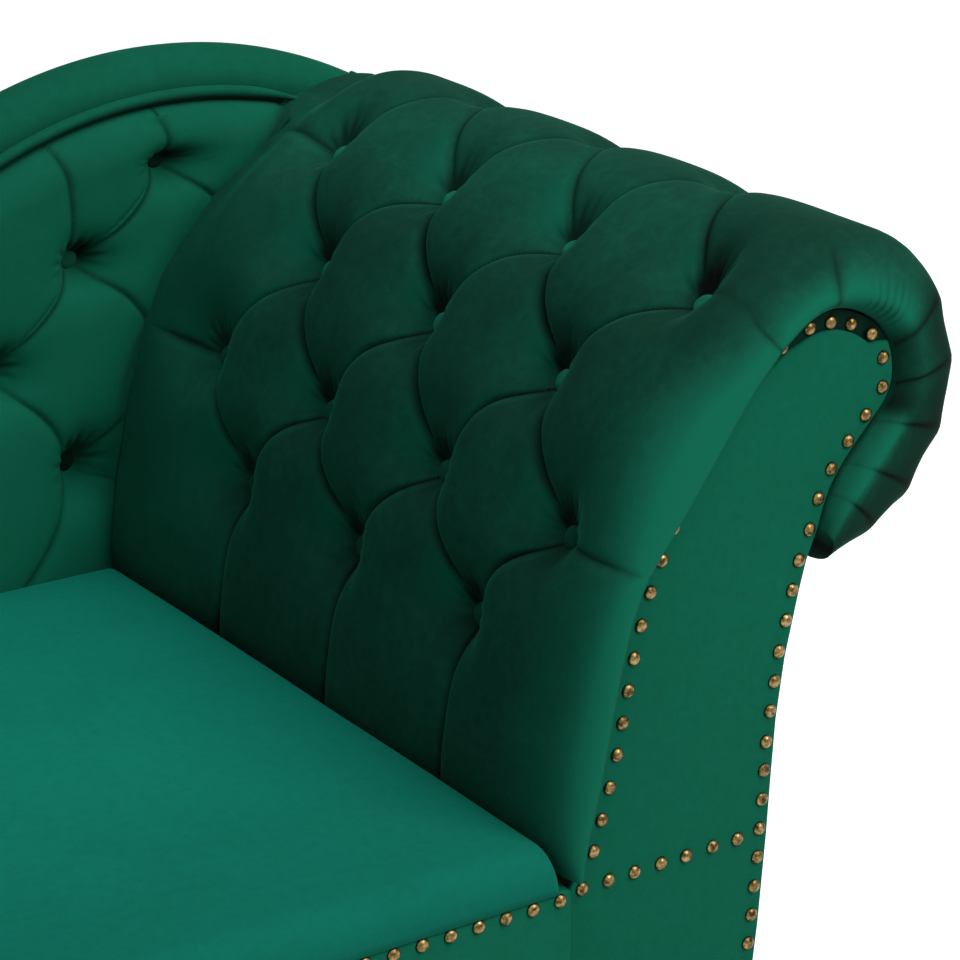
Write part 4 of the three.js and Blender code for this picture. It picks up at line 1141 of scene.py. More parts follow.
            # the pleats run aslant from the facing's edge
            fall, fold = self.gather(line - 0.3 * ease(self.pad_front, 44, y_out))
            outside = ease(5.2, 5.6, line)
            reach = np.interp(line, (3.5, 3.9, 5.2, 5.6), (27, 10, 10, 130))
            at_front = 1 - ease(lerp(-9, full_y, outside), reach, y_out)
            wrinkle = self.wrinkles(turn, line)
            share_out = self.share(y_out, line) - fall * at_front
            low_share = low_share + 0.02 * wrinkle * np.cos(turn)
            round_share = lerp(lip, share_out, np.sin(turn)) + 0.05 * wrinkle * np.cos(turn)
            back_y = lerp(self.pad_rear, 2, np.clip((j - front_cells - outer_cells - 1) / (back_cells - 2), 0, 1))
            in_front, in_back, at_end = j < front_cells, j > front_cells + outer_cells, j > total - 0.5
            y = np.where(in_front, np.where(turn < 0, low_y, round_y), np.where(in_back, back_y, face_y))
            share = np.where(
                in_front, np.where(turn < 0, low_share, round_share), np.where(in_back, self.inner, share_out)
            )
            y, share = np.where(at_end, lerp(2, -0.5, overhang), y), np.where(at_end, foot, share)
            x, z = self.scroll.through(at, share)
            # painted shade along the pleats' folds and in the wrinkles' troughs
            fold_shade = 0.5 * fold * at_front + 0.5 * np.maximum(-wrinkle, 0)
            painted_light_amount = self.painted_light_and_shade(y_out, z, line, turn) - self.painted_crease_shade(y_out, line) - fold_shade
            return x, y, z, np.where(in_back | (j < 0.5), 0, painted_light_amount)

        return paint_light_by_facing(close_skin(grid_skin(self.bench, self.rows, total, place)), light=1.5, shade=0.6)

    def rear_band_mesh(self) -> Mesh:
        """Make the strip of velvet over the boards' edges, between the arm's covers and the outside back.

        Returns:
            The closed strip, from beside the roll round the scroll and down to the rail.
        """
        steps = 60
        places = np.linspace(13.2, self.scroll.neck, steps + 1)
        (wx, wz), (cx, cz) = self.scroll.wood(places), self.scroll.crest(places)
        low = np.stack([wx, wz], axis=1)
        high = lerp(low, np.stack([cx, cz], axis=1), 0.66)
        edge = np.array(self.scroll.outside_edge()[1:])
        low = np.concatenate([low, edge])
        high = np.concatenate([high, edge + np.array([3.0, 0.0])])
        last = len(low) - 1
        # y, and how far out from the boards' edge: 0 at the wood and 1 at the strip's outside
        outside = [(641.4, 0.04), (641.4, 0.9), (643.5, 1), (677.5, 1), (679.8, 0.97)]
        section = np.array(outside + [(679.8, 0.93), (654.6, 0.93), (654.6, 0.04)])
        ring = np.concatenate([section, section[:1]])

        def place(u: np.ndarray, v: np.ndarray) -> Points:
            """Return the points of the strip's sections."""
            i, k = np.round(u * last).astype(int), np.round(v * len(section)).astype(int)
            out = lerp(low[i], high[i], ring[k, 1][:, None])
            return out[:, 0], ring[k, 0], out[:, 1]

        return close_skin(grid_skin(self.bench, last, len(section), place))

    def button_spots(self, index: int) -> list[tuple[Vector, Vector]]:
        """Return the seat and direction of each button of a row."""
        line = index + 1
        at = self.tufts.place(line, self.scroll.neck)
        (wx, wz), (cx, cz) = self.scroll.wood(at), self.scroll.crest(at)
        out = Vector((cx - wx, 0, cz - wz)).normalized()
        share = self.tufts.seats[index] + self.button_seat
        x, z = self.scroll.through(at, share)
        ys = [self.tufts.first_button + k * self.tufts.half_pitch for k in range(line % 2, self.tufts.columns + 1, 2)]
        return [(Vector((x, y, z)), out) for y in ys]

    def facing_outline(self, drawn_in: float = 0) -> list[tuple[float, float]]:
        """Return the front facing's outline, from its inner foot over the scroll to its outer foot.

        Args:
            drawn_in: Share of the groove's width that the cloth is drawn in under the roll.

        Returns:
            x and z of each point.
        """
        places = np.arange(self.scroll.neck * 8 + 1) / 8
        x, z = self.scroll.wood(places)
        along_x, along_z = np.gradient(x), np.gradient(z)
        inset = drawn_in * np.interp(places, *zip(*self.groove)) / np.hypot(along_x, along_z)
        around = [(float(px), float(pz)) for px, pz in zip(x + along_z * inset, z - along_x * inset)]
        return [(FACING_FOOT, self.scroll.foot_z), (FACING_FOOT, 0)] + around + self.scroll.outside_edge()[1:]

    def groove_mesh(self) -> Mesh:
        """Make the strip of cloth at the bottom of the groove between the facing and the roll.

        Returns:
            The closed strip, with painted shade over it.
        """
        outer, inner = self.facing_outline(), self.facing_outline(1)
        kept = [i for i, (a, b) in enumerate(zip(outer, inner)) if math.dist(a, b) > 0.3]
        first, last = kept[0] - 1, kept[-1] + 2
        ring = outer[first:last] + inner[first + 1 : last - 1][::-1]
        return paint_shade_over(panel(self.bench, ring, self.groove_depth, self.facing_depth, rounding=0.2), amount=0.85)

    def build(self, velvet: Finish, plain: Finish, button: Finish) -> None:
        """Make and set down the arm's pieces.

        Args:
            velvet: Finish of the tufted pad.
            plain: Finish of the facing and the outside panel.
            button: Finish of the buttons.
        """
        pad = set_down("arm_pad", self.pad_mesh(), velvet, ["arm_tufted_pad"])
        for index, name in enumerate(("first", "second", "third", "fourth", "fifth", "sixth")):
            mesh = button_row(self.bench, self.button_spots(index), self.button_radius, self.button_dome, self.shank)
            # the third and fourth rows' buttons take the lighter velvet copy, a painted highlight, and the others the
            # tufted pad's darker copy
            finish = button if index in (2, 3) else velvet
            set_down(f"arm_buttons_{name}", mesh, finish, [f"arm_button_row_{name}"])
        set_down("facing_groove", self.groove_mesh(), plain, sharp=50)
        facing = panel(self.bench, self.facing_outline(1), 0, self.facing_depth, rounding=2.2)
        set_down("front_facing", facing, plain, ["arm_front_facing"], sharp=50)
        outer = self.scroll.outside_edge()
        (top_x, top_z), thick = outer[0], 3.8
        outer[0] = (top_x - 1.5, top_z - 1.5)
        inner = [(x - thick, z) for x, z in outer[::-1]]
        outside = panel(self.bench, outer + inner, *self.outside_y, rounding=1.2)
        set_down("outside_panel", outside, plain, ["arm_outside_panel"], sharp=50)
        set_down("rear_band", self.rear_band_mesh(), plain)


def button_row(bench: Bench, spots: Sequence[tuple[Vector, Vector]], radius: float, dome: float, shank: float) -> Mesh:
    """Make a row of covered buttons with the twine behind them.

    Args:
        bench: The bench the places are measured on.
        spots: The seat and direction of each button.
        radius: Radius of a button.
        dome: How high a button stands.
        shank: Length of twine behind it.

    Returns:
        The buttons as one mesh.
    """
    mesh = bmesh.new()
    for seat, out in spots:
        turn = Vector((0, 0, 1)).rotation_difference(out).to_matrix().to_4x4()
        made = bmesh.ops.create_uvsphere(mesh, u_segments=24, v_segments=12, radius=1)
        for vert in made["verts"]:
            z = vert.co.z
            flat = max(math.hypot(vert.co.x, vert.co.y), 1e-9)
            # a covered button is fuller at its rim than a ball
            round_share = flat**0.8 / flat
            vert.co.x *= round_share * radius * MM
            vert.co.y *= round_share * radius * MM
            vert.co.z = (z * dome if z > 0 else z * 2.5) * MM
        centre = seat + out * 1.5
        place = Matrix.Translation(bench.at(*centre)) @ turn
        bmesh.ops.transform(mesh, matrix=place, verts=made["verts"])
        thread = bmesh.ops.create_cone(
            mesh, cap_ends=True, segments=8, radius1=1.2 * MM, radius2=1.2 * MM, depth=shank * MM
        )
        lower = Matrix.Translation(bench.at(*(seat - out * shank / 2))) @ turn
        bmesh.ops.transform(mesh, matrix=lower, verts=thread["verts"])
    return mesh


@dataclass(frozen=True)
class Back:
    """The back: tufted pad, covered buttons, top roll and welt."""

    bench: Bench
    scroll: Scroll
    line: RollLine
    face_y: float = 654.4
    # x of the column of buttons nearest to the arm
    column_x: float = -34
    half_pitch: float = 75
    # heights of the seat, the four rows of buttons and the roll over them
    rises: tuple[float, ...] = (0, 112, 200, 275, 343, 380)
    # how far each row of the back stands off its column, towards the arm
    leans: tuple[float, ...] = (-7, -7, -2, 3, 6, 7)
    swell: Swell = Swell(
        dome=0.06, fullness=0.24, lean=1.0, bows=(0.1, 0.06), cut=0.08, cut_width=0.034, hollow=0.24, behind=0.8
    )
    # how far the pad stands over its board: its crest at the seat and at the roll, and the cloth at a button
    crest: float = 52
    crest_top: float = 42
    dimple: float = 8
    button_seat: float = 3.5
    button_radius: float = 8.7
    button_dome: float = 5.5
    shank: float = 22
    # how far below the roll's middle line the pad ends, and its lower edge
    top_inset: float = 8.5
    bottom: float = 6
    roll_radius: float = 30
    roll_y: float = 672
    welt_radius: float = 5.2
    # where the roll and the welt begin beside the arm, in radians past the hump's top
    roll_start: float = 0.53
    welt_start: float = 0.38
    outside_y: tuple[float, float] = (680, 686)

    @staticmethod
    def bent(across: np.ndarray, away: np.ndarray) -> np.ndarray:
        """Return the place across as the straight pleats have it: the last bows to the arm, the others lean off."""
        off = 0.08 * ease(0, 0.3, away)
        to_arm = 0.5 * off - 0.06 * np.sin(np.pi * np.clip(away, 0, 1))
        return across + np.where(across > 1.5, to_arm, off + 0.05 * away**2)

    @staticmethod
    def holds_button(a: np.ndarray, l: np.ndarray) -> np.ndarray:
        """Tell whether a crossing of two creases holds a button."""
        return np.where(l == 1, a <= 1, a == l - 2) & (l >= 1) & (l <= 4)

    def lattice(self, x: np.ndarray, z: np.ndarray) -> tuple[np.ndarray, np.ndarray]:
        """Return a place across and along the rows of buttons, counted in half pitches and rows."""
        line = np.interp(z, self.rises, range(len(self.rises)))
        return (x - self.column_x - np.interp(line, range(len(self.leans)), self.leans)) / self.half_pitch + 1, line

    @staticmethod
    def beside(across: np.ndarray, line: np.ndarray) -> np.ndarray:
        """Return the place across, held back below the last button beside the arm, where no crease runs."""
        return lerp(np.minimum(across, 1), across, ease(0.8, 1, line))

    def creases_at(self, across: np.ndarray, line: np.ndarray) -> Points:
        """Find a place among the creases: diamonds below the topmost buttons and straight pleats above them.

        Args:
            across: Place across.
            line: Place along the rows.

        Returns:
            The place across the diamonds' two sets of creases, its height over the topmost button, its place across
            the straight pleats, and whether those run there.
        """
        top = np.clip(across + 2, 1, 4)
        below, held = np.minimum(line, top), self.beside(across, line)
        away = line - top
        straight = (away > 0) & (across > -1) & (across < 2.6)
        return held + below, held - below, away, self.bent(across, away), straight

    def level(self, across: np.ndarray, line: np.ndarray) -> np.ndarray:
        """Return the tufts' level."""
        p, q, away, bent, straight = self.creases_at(across, line)
        near = np.hypot(bent - np.round(bent), 0.01)
        beside = np.where(across < 2, np.clip(away, 0, 1), 1)
        dome = np.sin(np.pi * near) ** self.swell.fullness * np.sin(np.pi / 2 * beside) ** self.swell.fullness
        cut = np.exp(-np.minimum(near, beside * 0.7) / self.swell.cut_width)
        pleats = 1 - self.swell.dome * (1 - dome) - self.swell.cut * cut
        return np.where(straight, pleats, self.swell.level(p, q))

    def painted_crease_shade(self, across: np.ndarray, line: np.ndarray) -> np.ndarray:
        """Return how much painted shade a place gets: most in the creases between the tufts and in the hollows."""
        p, q, _, bent, straight = self.creases_at(across, line)
        near = np.where(straight, np.abs(bent - np.round(bent)), self.swell.in_tuft(p, q)[2])
        thin = 0.85 * np.exp(-((near / 0.03) ** 1.6))
        return np.maximum(thin, 1.2 * self.swell.shaded(across, line, self.holds_button))

    def seam_x(self, z: np.ndarray) -> np.ndarray:
        """Return where the arm's cloth lies at a height, which ends the back pad."""
        places = np.linspace(0.6, 11.6, 90)
        share = np.interp(places, (4.3, 6, 7.1, 8.9, 10.3), (0.88, 0.42, 0.08, 0.08, 0.4))
        seam, rise = self.scroll.through(places, share)
        return np.interp(z, np.maximum.accumulate(rise), seam)

    def height(self, x: np.ndarray, z: np.ndarray, top: np.ndarray, foot_x: float) -> np.ndarray:
        """Return how far the pad stands over its board.

        Args:
            x: Place along the couch.
            z: Height over the nail row.
            top: Height where the pad ends under the roll.
            foot_x: Where the pad ends at the low end.

        Returns:
            The height over the board.
        """
        across, line = self.lattice(x, z)
        crest = lerp(self.crest, self.crest_top, np.clip(z / self.rises[-1], 0, 1))
        share = self.swell.pulled(self.level(across, line), across, line, self.holds_button, self.dimple / crest)
        height = lerp(18, crest * share, arc_share(np.minimum(top - z, x - foot_x) / 30))
        return lerp(lerp(18, 47, arc_share((top - z) / 8)), height, arc_share((self.seam_x(z) - x) / 10))

    def pad_mesh(self) -> Mesh:
        """Make the tufted pad between the seat, the arm and the roll.

        Returns:
            The closed pad.
        """
        foot_x = -self.line.low_end - self.line.end_radius + self.top_inset
        rows, outer_cells, back_cells = 820, 270, 24
        total = outer_cells + back_cells

        def place(u: np.ndarray, v: np.ndarray) -> Points:
            """Return the points of the pad's sections, up its face and down its back."""
            j = v * total
            on_face = (j <= outer_cells) | (j > total - 0.5)
            t = np.where(j <= outer_cells, j / outer_cells, 1 - (j - outer_cells - 1) / (back_cells - 2))
            t = np.clip(t, 0, 1)
            z = np.full_like(u, self.bottom)
            for _ in range(14):
                x = lerp(foot_x, self.seam_x(z), u)
                top = self.line.rise_at(x) - self.top_inset
                z = lerp(self.bottom, top, t)
            across, line = self.lattice(x, z)
            y = self.face_y - np.where(on_face, self.height(x, z, top, foot_x), 0.3)
            # the arm's cloth lies on the pad's edge, and a painted shadow goes beside it
            from_arm = self.seam_x(z) - np.interp(z, (150, 220, 270, 310), (4, 13, 12, 0)) - x
            beside_arm = 0.85 * np.exp(-((np.maximum(from_arm, 0) / 8) ** 1.2))
            # painted light on the pad's lower part, less further up
            low = lerp(0.95, 0.2, ease(60, 300, z))
            return x, y, z, np.where(on_face, low - np.maximum(self.painted_crease_shade(across, line), beside_arm), 0)

        return close_skin(grid_skin(self.bench, rows, total, place))

    def build(self, velvet: Finish, plain: Finish, button: Finish) -> None:
        """Make and set down the back's pieces.

        Args:
            velvet: Finish of the tufted pad, the roll and the welt.
            plain: Finish of the outside back.
            button: Finish of the buttons.
        """
        pad = set_down("back_pad", self.pad_mesh(), velvet, ["back_tufted_pad"])
        columns = {"first": (0, -2, -4, -6, -8, -10), "second": (-1,), "third": (0,), "fourth": (1,)}
        forward = Vector((0, -1, 0))
        for index, (name, places) in enumerate(columns.items()):
            y = self.face_y - self.dimple - self.button_seat
            first_x = self.column_x + self.leans[index + 1]
            spots = [(Vector((first_x + k * self.half_pitch, y, self.rises[index + 1])), forward) for k in places]
            row = button_row(self.bench, spots, self.button_radius, self.button_dome, self.shank)
            # painted shade on the buttons of every row but the third, whose button catches the light; the others sit in
            # the shade of their hollows
            mesh = paint_shade_over(row, 0 if name == "third" else 0.8)
            set_down(f"back_buttons_{name}", mesh, button, [f"back_button_row_{name}"])
        roll_path = self.line.points(0, self.roll_start, foot_z=0.3)
        roll = tube(self.bench, roll_path, self.roll_y, lambda share: (self.roll_radius, self.roll_radius), around=40)
        set_down("top_roll", shade_below(roll, 0.6), velvet, ["back_top_roll"])
        inset = 1.5
        reach = self.roll_radius + self.welt_radius + 0.6
        welt_y = self.roll_y - math.sqrt(reach**2 - inset**2)
        welt_path = self.line.points(inset, self.welt_start, foot_z=39, step=5)

        def thin(share: np.ndarray) -> tuple[np.ndarray, np.ndarray]:
            """Return the welt's radii, which run out to a point beside the arm."""
            radius = self.welt_radius * lerp(0.15, 1, ease(0, 0.06, share))
            return radius, radius

        welt = tube(self.bench, welt_path, welt_y, thin, around=14)
        set_down("welt_cord", shade_below(welt, 0.9), velvet, ["back_welt"])
        outside = panel(self.bench, self.outside_outline(), *self.outside_y, rounding=2.5)
        set_down("outside_back", outside, plain, ["outside_back_panel"], sharp=50)

    def outside_outline(self) -> list[tuple[float, float]]:
        """Return the outside back's outline: under the roll, down to the rail, and up along the arm."""
        rail, foot = self.scroll.foot_z, -1340
        under_roll = self.line.points(self.roll_radius + 0.3, self.roll_start, foot_z=0, step=16)
        arm_side = [self.scroll.through(place, 0.6) for place in np.arange(21, 13.4, -0.5)]
        outside = self.scroll.outside_edge()[1:]
        return under_roll + [(foot, 0), (foot, rail)] + outside[::-1] + arm_side


@dataclass
class Seat:
    """The seat: a crowned cushion with rounded edges, and the borders under the nail row."""

    bench: Bench
    low_x: float = -1342
    high_x: float = -24
    front_y: float = -8
    # how far back it goes past the back's low end, and before the tufted back, and where one goes over into the other
    back_y: float = 685.7
    notch_y: float = 598.5
    notch_x: float = -888.5
    notch_end_x: float = -931.5
    bottom: float = 5.7
    rise: float = 30
    crown: float = 12
    # radii of the front and foot edges, of the edge at the back and of the one at the arm, and the drop of the last two
    rounding: float = 24
    back_rounding: float = 12
    side_rounding: float = 9
    back_drop: float = 8
    side_drop: float = 6
    border_z: tuple[float, float] = (-235, 5.4)
    border_rounding: float = 2.5

    def back_at(self, x: Numbers) -> Numbers:
        """Return how far back the seat goes at a place along the couch."""
        return lerp(self.back_y, self.notch_y, ease(self.notch_end_x, self.notch_x, x))

    def top(self, x: np.ndarray, y: np.ndarray) -> np.ndarray:
        """Return the height of the seat's top."""
        front = arc_share((y - self.front_y) / self.rounding)
        foot = arc_share((x - self.low_x) / self.rounding)
        back = arc_share((self.back_at(x) - y) / self.back_rounding)
        side = arc_share((self.high_x - x) / self.side_rounding)
        across = np.sin(np.pi * np.clip((x - self.low_x) / (self.high_x - self.low_x), 0, 1))
        deep = np.sin(np.pi * np.clip((y - self.front_y) / (self.notch_y - self.front_y), 0, 1))
        swell = 0.5 * np.sin(x / 61 + 1.3 * np.sin(y / 97)) * np.sin(y / 83 + 0.7 * np.sin(x / 71))
        crown = self.crown * np.sqrt(np.maximum(across * deep, 0)) + swell
        low = np.minimum(front, foot)
        edge = self.rounding * (1 - low) + self.back_drop * (1 - back) + self.side_drop * (1 - side)
        return self.bottom + self.rise - edge + crown * low

    def mesh(self) -> Mesh:
        """Make the seat cushion.

        Returns:
            The closed cushion.
        """
        xs = np.array(self.spaced(self.low_x, self.high_x, 150, self.rounding, self.side_rounding))
        usual = 600
        deep = np.array(self.spaced(0, 1, 84, self.rounding / usual, self.back_rounding / usual))
        columns, around = len(xs) - 1, len(deep) - 1

        def place(u: np.ndarray, v: np.ndarray) -> Points:
            """Return the points of the seat's top, with a little painted shade towards its front edge."""
            x = xs[np.round(u * columns).astype(int)]
            y = lerp(self.front_y, self.back_at(x), deep[np.round(v * around).astype(int)])
            return x, y, self.top(x, y), -0.24 * (1 - ease(0, 300, y))

        mesh = grid_skin(self.bench, columns, around, place)
        rim = [edge for edge in mesh.edges if edge.is_boundary]
        made = bmesh.ops.extrude_edge_only(mesh, edges=rim)
        floor = self.bench.at(0, 0, self.bottom).z
        for item in made["geom"]:
            if isinstance(item, bmesh.types.BMVert):
                item.co.z = floor
        return close_skin(mesh)

    @staticmethod
    def spaced(low: float, high: float, cells: int, round_low: float, round_high: float) -> list[float]:
        """Return places from low to high, closer together in the rounded ends."""
        steps = 7
        places = [low + round_low * (1 - math.cos(i / steps * math.pi / 2)) for i in range(steps)]
        places += [lerp(low + round_low, high - round_high, i / cells) for i in range(cells + 1)]
        return places + [high - round_high * (1 - math.cos(i / steps * math.pi / 2)) for i in reversed(range(steps))]

    def build(self, seating: Finish, plain: Finish) -> None:
        """Make and set down the seat and its borders.

        Args:
            seating: Finish of the seat.
            plain: Finish of the borders.
        """
        seat = set_down("seat_cushion", self.mesh(), seating, ["seat_cover", "seat_foam"])
        low, high = self.border_z
        front = rounded_block(self.bench, (-1333.7, -6, low), (-12, 6, high), self.border_rounding)
        set_down("front_border", front, plain, ["front_border_cover"], sharp=50)
        foot = rounded_block(self.bench, (-1340, -6, low), (-1334, 679.7, high), self.border_rounding)
        set_down("foot_border", foot, plain, ["foot_border_cover"], sharp=50)


@dataclass
class Base:
    """What the couch stands on: four turned legs, and the dust cover under the rails."""

    bench: Bench
    floor_z: float = -385.3
    top_radius: float = 30
    height: float = 150
    # the hole of a leg's hanger bolt
    bolt_radius: float = 4.4
    bolt_depth: float = 40.3
    leg_x: tuple[float, float] = (-1268.4, 64.4)
    leg_y: tuple[float, float] = (71.6, 589.1)
    # radius and height up a leg, as shares of its top radius and its height
    profile: tuple[tuple[float, float], ...] = (
        (0.0, 0.0),
        (0.44, 0.0),
        (0.5, 0.012),
        (0.5, 0.03),
        (0.53, 0.12),
        (0.56, 0.22),
        (0.585, 0.32),
        (0.605, 0.4),
        (0.62, 0.412),
        (0.7, 0.422),
        (0.755, 0.44),
        (0.77, 0.46),
        (0.755, 0.48),
        (0.7, 0.497),
        (0.64, 0.505),
        (0.66, 0.52),
        (0.76, 0.56),
        (0.87, 0.62),
        (0.94, 0.68),
        (0.97, 0.74),
        (0.955, 0.79),
        (0.9, 0.835),
        (0.82, 0.865),
        (0.8, 0.88),
        (0.84, 0.89),
        (0.97, 0.9),
        (1.0, 0.912),
        (1.0, 0.985),
        (0.98, 1.0),
    )
    # the cover's low edge, the notches at its corners, and its high edge
    cover_x: tuple[float, float, float, float] = (-1333.7, -1233.4, 29.4, 129.7)
    cover_y: tuple[float, float, float, float] = (6.3, 106.6, 554.1, 679.7)
    cover_z: float = -235.4
    sag: float = 4
    # width of its edge that is stapled to a rail, and thickness of the cloth
    stapled: float = 25
    cloth: float = 0.7

    def leg(self, x: float, y: float) -> Mesh:
        """Turn a leg with the hole of its hanger bolt.

        Args:
            x: Where its middle stands.
            y: Where its middle stands.

        Returns:
            The closed turning.
        """
        outside = [(radius * self.top_radius, height * self.height) for radius, height in self.profile]
        deep = self.height - self.bolt_depth
        hole = [(self.bolt_radius, self.height), (self.bolt_radius, deep), (0, deep)]
        return spun(self.bench, outside + hole, x, y, self.floor_z, steps=48)

    def free(self, at: np.ndarray, ends: Sequence[float]) -> np.ndarray:
        """Return a place's share of the way between two rails, held from 0 to 1."""
        return np.clip((at - ends[0] - self.stapled) / (ends[-1] - ends[0] - 2 * self.stapled), 0, 1)

    def cover_mesh(self) -> Mesh:
        """Cut the dust cover to its shape and let it sag between the rails.

        Returns:
            The cover, closed and as thick as its cloth.
        """
        columns, rows = (0, 8, 100, 108), (0, 8, 44, 54)

        def place(u: np.ndarray, v: np.ndarray) -> Points:
            """Return the points of the cover."""
            x = np.interp(u * columns[-1], columns, self.cover_x)
            y = np.interp(v * rows[-1], rows, self.cover_y)
            free_x, free_y = self.free(x, self.cover_x), self.free(y, self.cover_y)
            # drawn folds run in from the staples, a hand's breadth apart
            pull = 0.5 * np.sin(x / 19) * np.exp(-np.abs(y - self.cover_y[0] - 40) / 35)
            hang = np.sqrt(np.sin(np.pi * free_x) * np.sin(np.pi * free_y))
            return x, y, self.cover_z - self.sag * hang + pull * hang

        mesh = grid_skin(self.bench, columns[-1], rows[-1], place)
        (x_low, x_high), (y_low, y_high) = self.cover_x[1:3], self.cover_y[1:3]
        low, high = self.bench.at(x_low, y_low, 0), self.bench.at(x_high, y_high, 0)
        corners = []
        for face in mesh.faces:
            middle = face.calc_center_median()
            if not low.x < middle.x < high.x and not low.y < middle.y < high.y:
                corners.append(face)
        bmesh.ops.delete(mesh, geom=corners, context="FACES")
        bmesh.ops.solidify(mesh, geom=list(mesh.faces), thickness=self.cloth * MM)
        bmesh.ops.recalc_face_normals(mesh, faces=mesh.faces)
        return mesh

    def build(self, wood: Finish, cloth: Finish) -> None:
        """Make and set down the legs and the dust cover.

        Args:
            wood: Finish of the legs.
            cloth: Finish of the dust cover.
        """
        for side, x in zip(("foot", "head"), self.leg_x):
            for depth, y in zip(("front", "rear"), self.leg_y):
                replaced = [f"leg_{depth}_{side}"]
                set_down(f"turned_leg_{depth}_{side}", self.leg(x, y), wood, replaced, sharp=40)
        cover = set_down("dust_cloth", self.cover_mesh(), cloth, ["dust_cover"])


@dataclass
class Nails:
    """Domed upholstery nails, set by hand along the facing and the border."""

    bench: Bench
    radius: float = 5.1
    dome: float = 3.4
    pitch: float = 21.6
    # how far in from the facing's outline they sit
    inset: float = 8
    # how far along the facing's edge the first nail sits
    first: float = 17.5
    # the pad hangs over the facing's nails below this x and above this z, and how deep those are driven
    overhang: tuple[float, float] = (150, 225)
    driven: float = 2
    # how far along the facing's edge each spacing starts: closer over the top of the scroll
    facing_pitches: tuple[tuple[float, float], ...] = ((0, 22.4), (300, 23.6), (400, 18), (450, 21.5))

    def along(self, path: Outline, skip: float = 0, pitches: Outline = ()) -> list[tuple[float, float]]:
        """Space nails along a path.

        Args:
            path: The points of the path.
            skip: How far along it the first nail sits.
            pitches: Where each spacing starts, and the spacing, or nothing for the usual one.

        Returns:
            The places of the nails.
        """
        line = np.array(path, float)
        walked = np.concatenate([[0], np.cumsum(np.hypot(*np.diff(line, axis=0).T))])
        spots, reached = [], skip
        while reached <= walked[-1]:
            spots.append((float(np.interp(reached, walked, line[:, 0])), float(np.interp(reached, walked, line[:, 1]))))
            reached += next((step for start, step in reversed(pitches) if reached >= start), self.pitch)
        return spots

    def mesh(self, spots: Sequence[Corner], out: Vector) -> Mesh:
        """Make nail heads.

        Args:
            spots: x, y and z of the middle of each head.
            out: The way they face.

        Returns:
            The heads as one mesh.
        """
        mesh = bmesh.new()
        for number, (x, y, z) in enumerate(spots):
            made = bmesh.ops.create_uvsphere(mesh, u_segments=12, v_segments=8, radius=1)
            wobble = ripple(number * 37.0, 5, 2, 10)
            for vert in made["verts"]:
                vert.co.x *= self.radius * MM
                vert.co.y *= self.radius * MM
                vert.co.z *= (self.dome if vert.co.z > 0 else 0.6) * MM
            turn = Vector((0, 0, 1)).rotation_difference(out).to_matrix().to_4x4()
            place = Matrix.Translation(self.bench.at(x + wobble * 0.8 * abs(out.y), y, z + wobble * 0.6)) @ turn
            bmesh.ops.transform(mesh, matrix=place, verts=made["verts"])
        return mesh

    def inner_edge(self, arm: Arm) -> list[tuple[float, float]]:
        """Return the line of nails round the facing, moved in from its outline."""
        outline = arm.facing_outline()[2:]
        line = []
        for i, (x, z) in enumerate(outline):
            (ax, az), (bx, bz) = outline[max(i - 1, 0)], outline[min(i + 1, len(outline) - 1)]
            length = math.hypot(bx - ax, bz - az) or 1
            line.append((x + (bz - az) / length * self.inset, z - (bx - ax) / length * self.inset))
        return line

    def depth(self, arm: Arm, x: float, z: float) -> float:
        """Return how deep a nail of the facing sits: on the groove's bottom, or driven home under the overhang."""
        groove_x, groove_z = arm.groove_end
        if z > groove_z and x < groove_x:
            return arm.groove_depth
        return self.driven if x < self.overhang[0] and z > self.overhang[1] else 0

    def build(self, brass: Finish, arm: Arm) -> None:
        """Make and set down the nails.

        Args:
            brass: Their finish.
            arm: The arm whose facing they edge.
        """
        spots = self.along(self.inner_edge(arm), self.first, self.facing_pitches)
        edge = [(x, self.depth(arm, x, z), z) for x, z in spots]
        row = [(x, 0, 0) for x, _ in self.along([(0, 0), (140, 0)])]
        border = [(x, -6, 0) for x, _ in self.along([(-21.6, 0), (-1325, 0)])]
        foot = [(-1340, y, 0) for y, _ in self.along([(8, 0), (672, 0)])]
        forward = Vector((0, -1, 0))
        set_down("facing_nails", self.mesh(edge + row, forward), brass)
        set_down("border_nails", self.mesh(border, forward), brass)
        set_down("foot_nails", self.mesh(foot, Vector((-1, 0, 0))), brass)


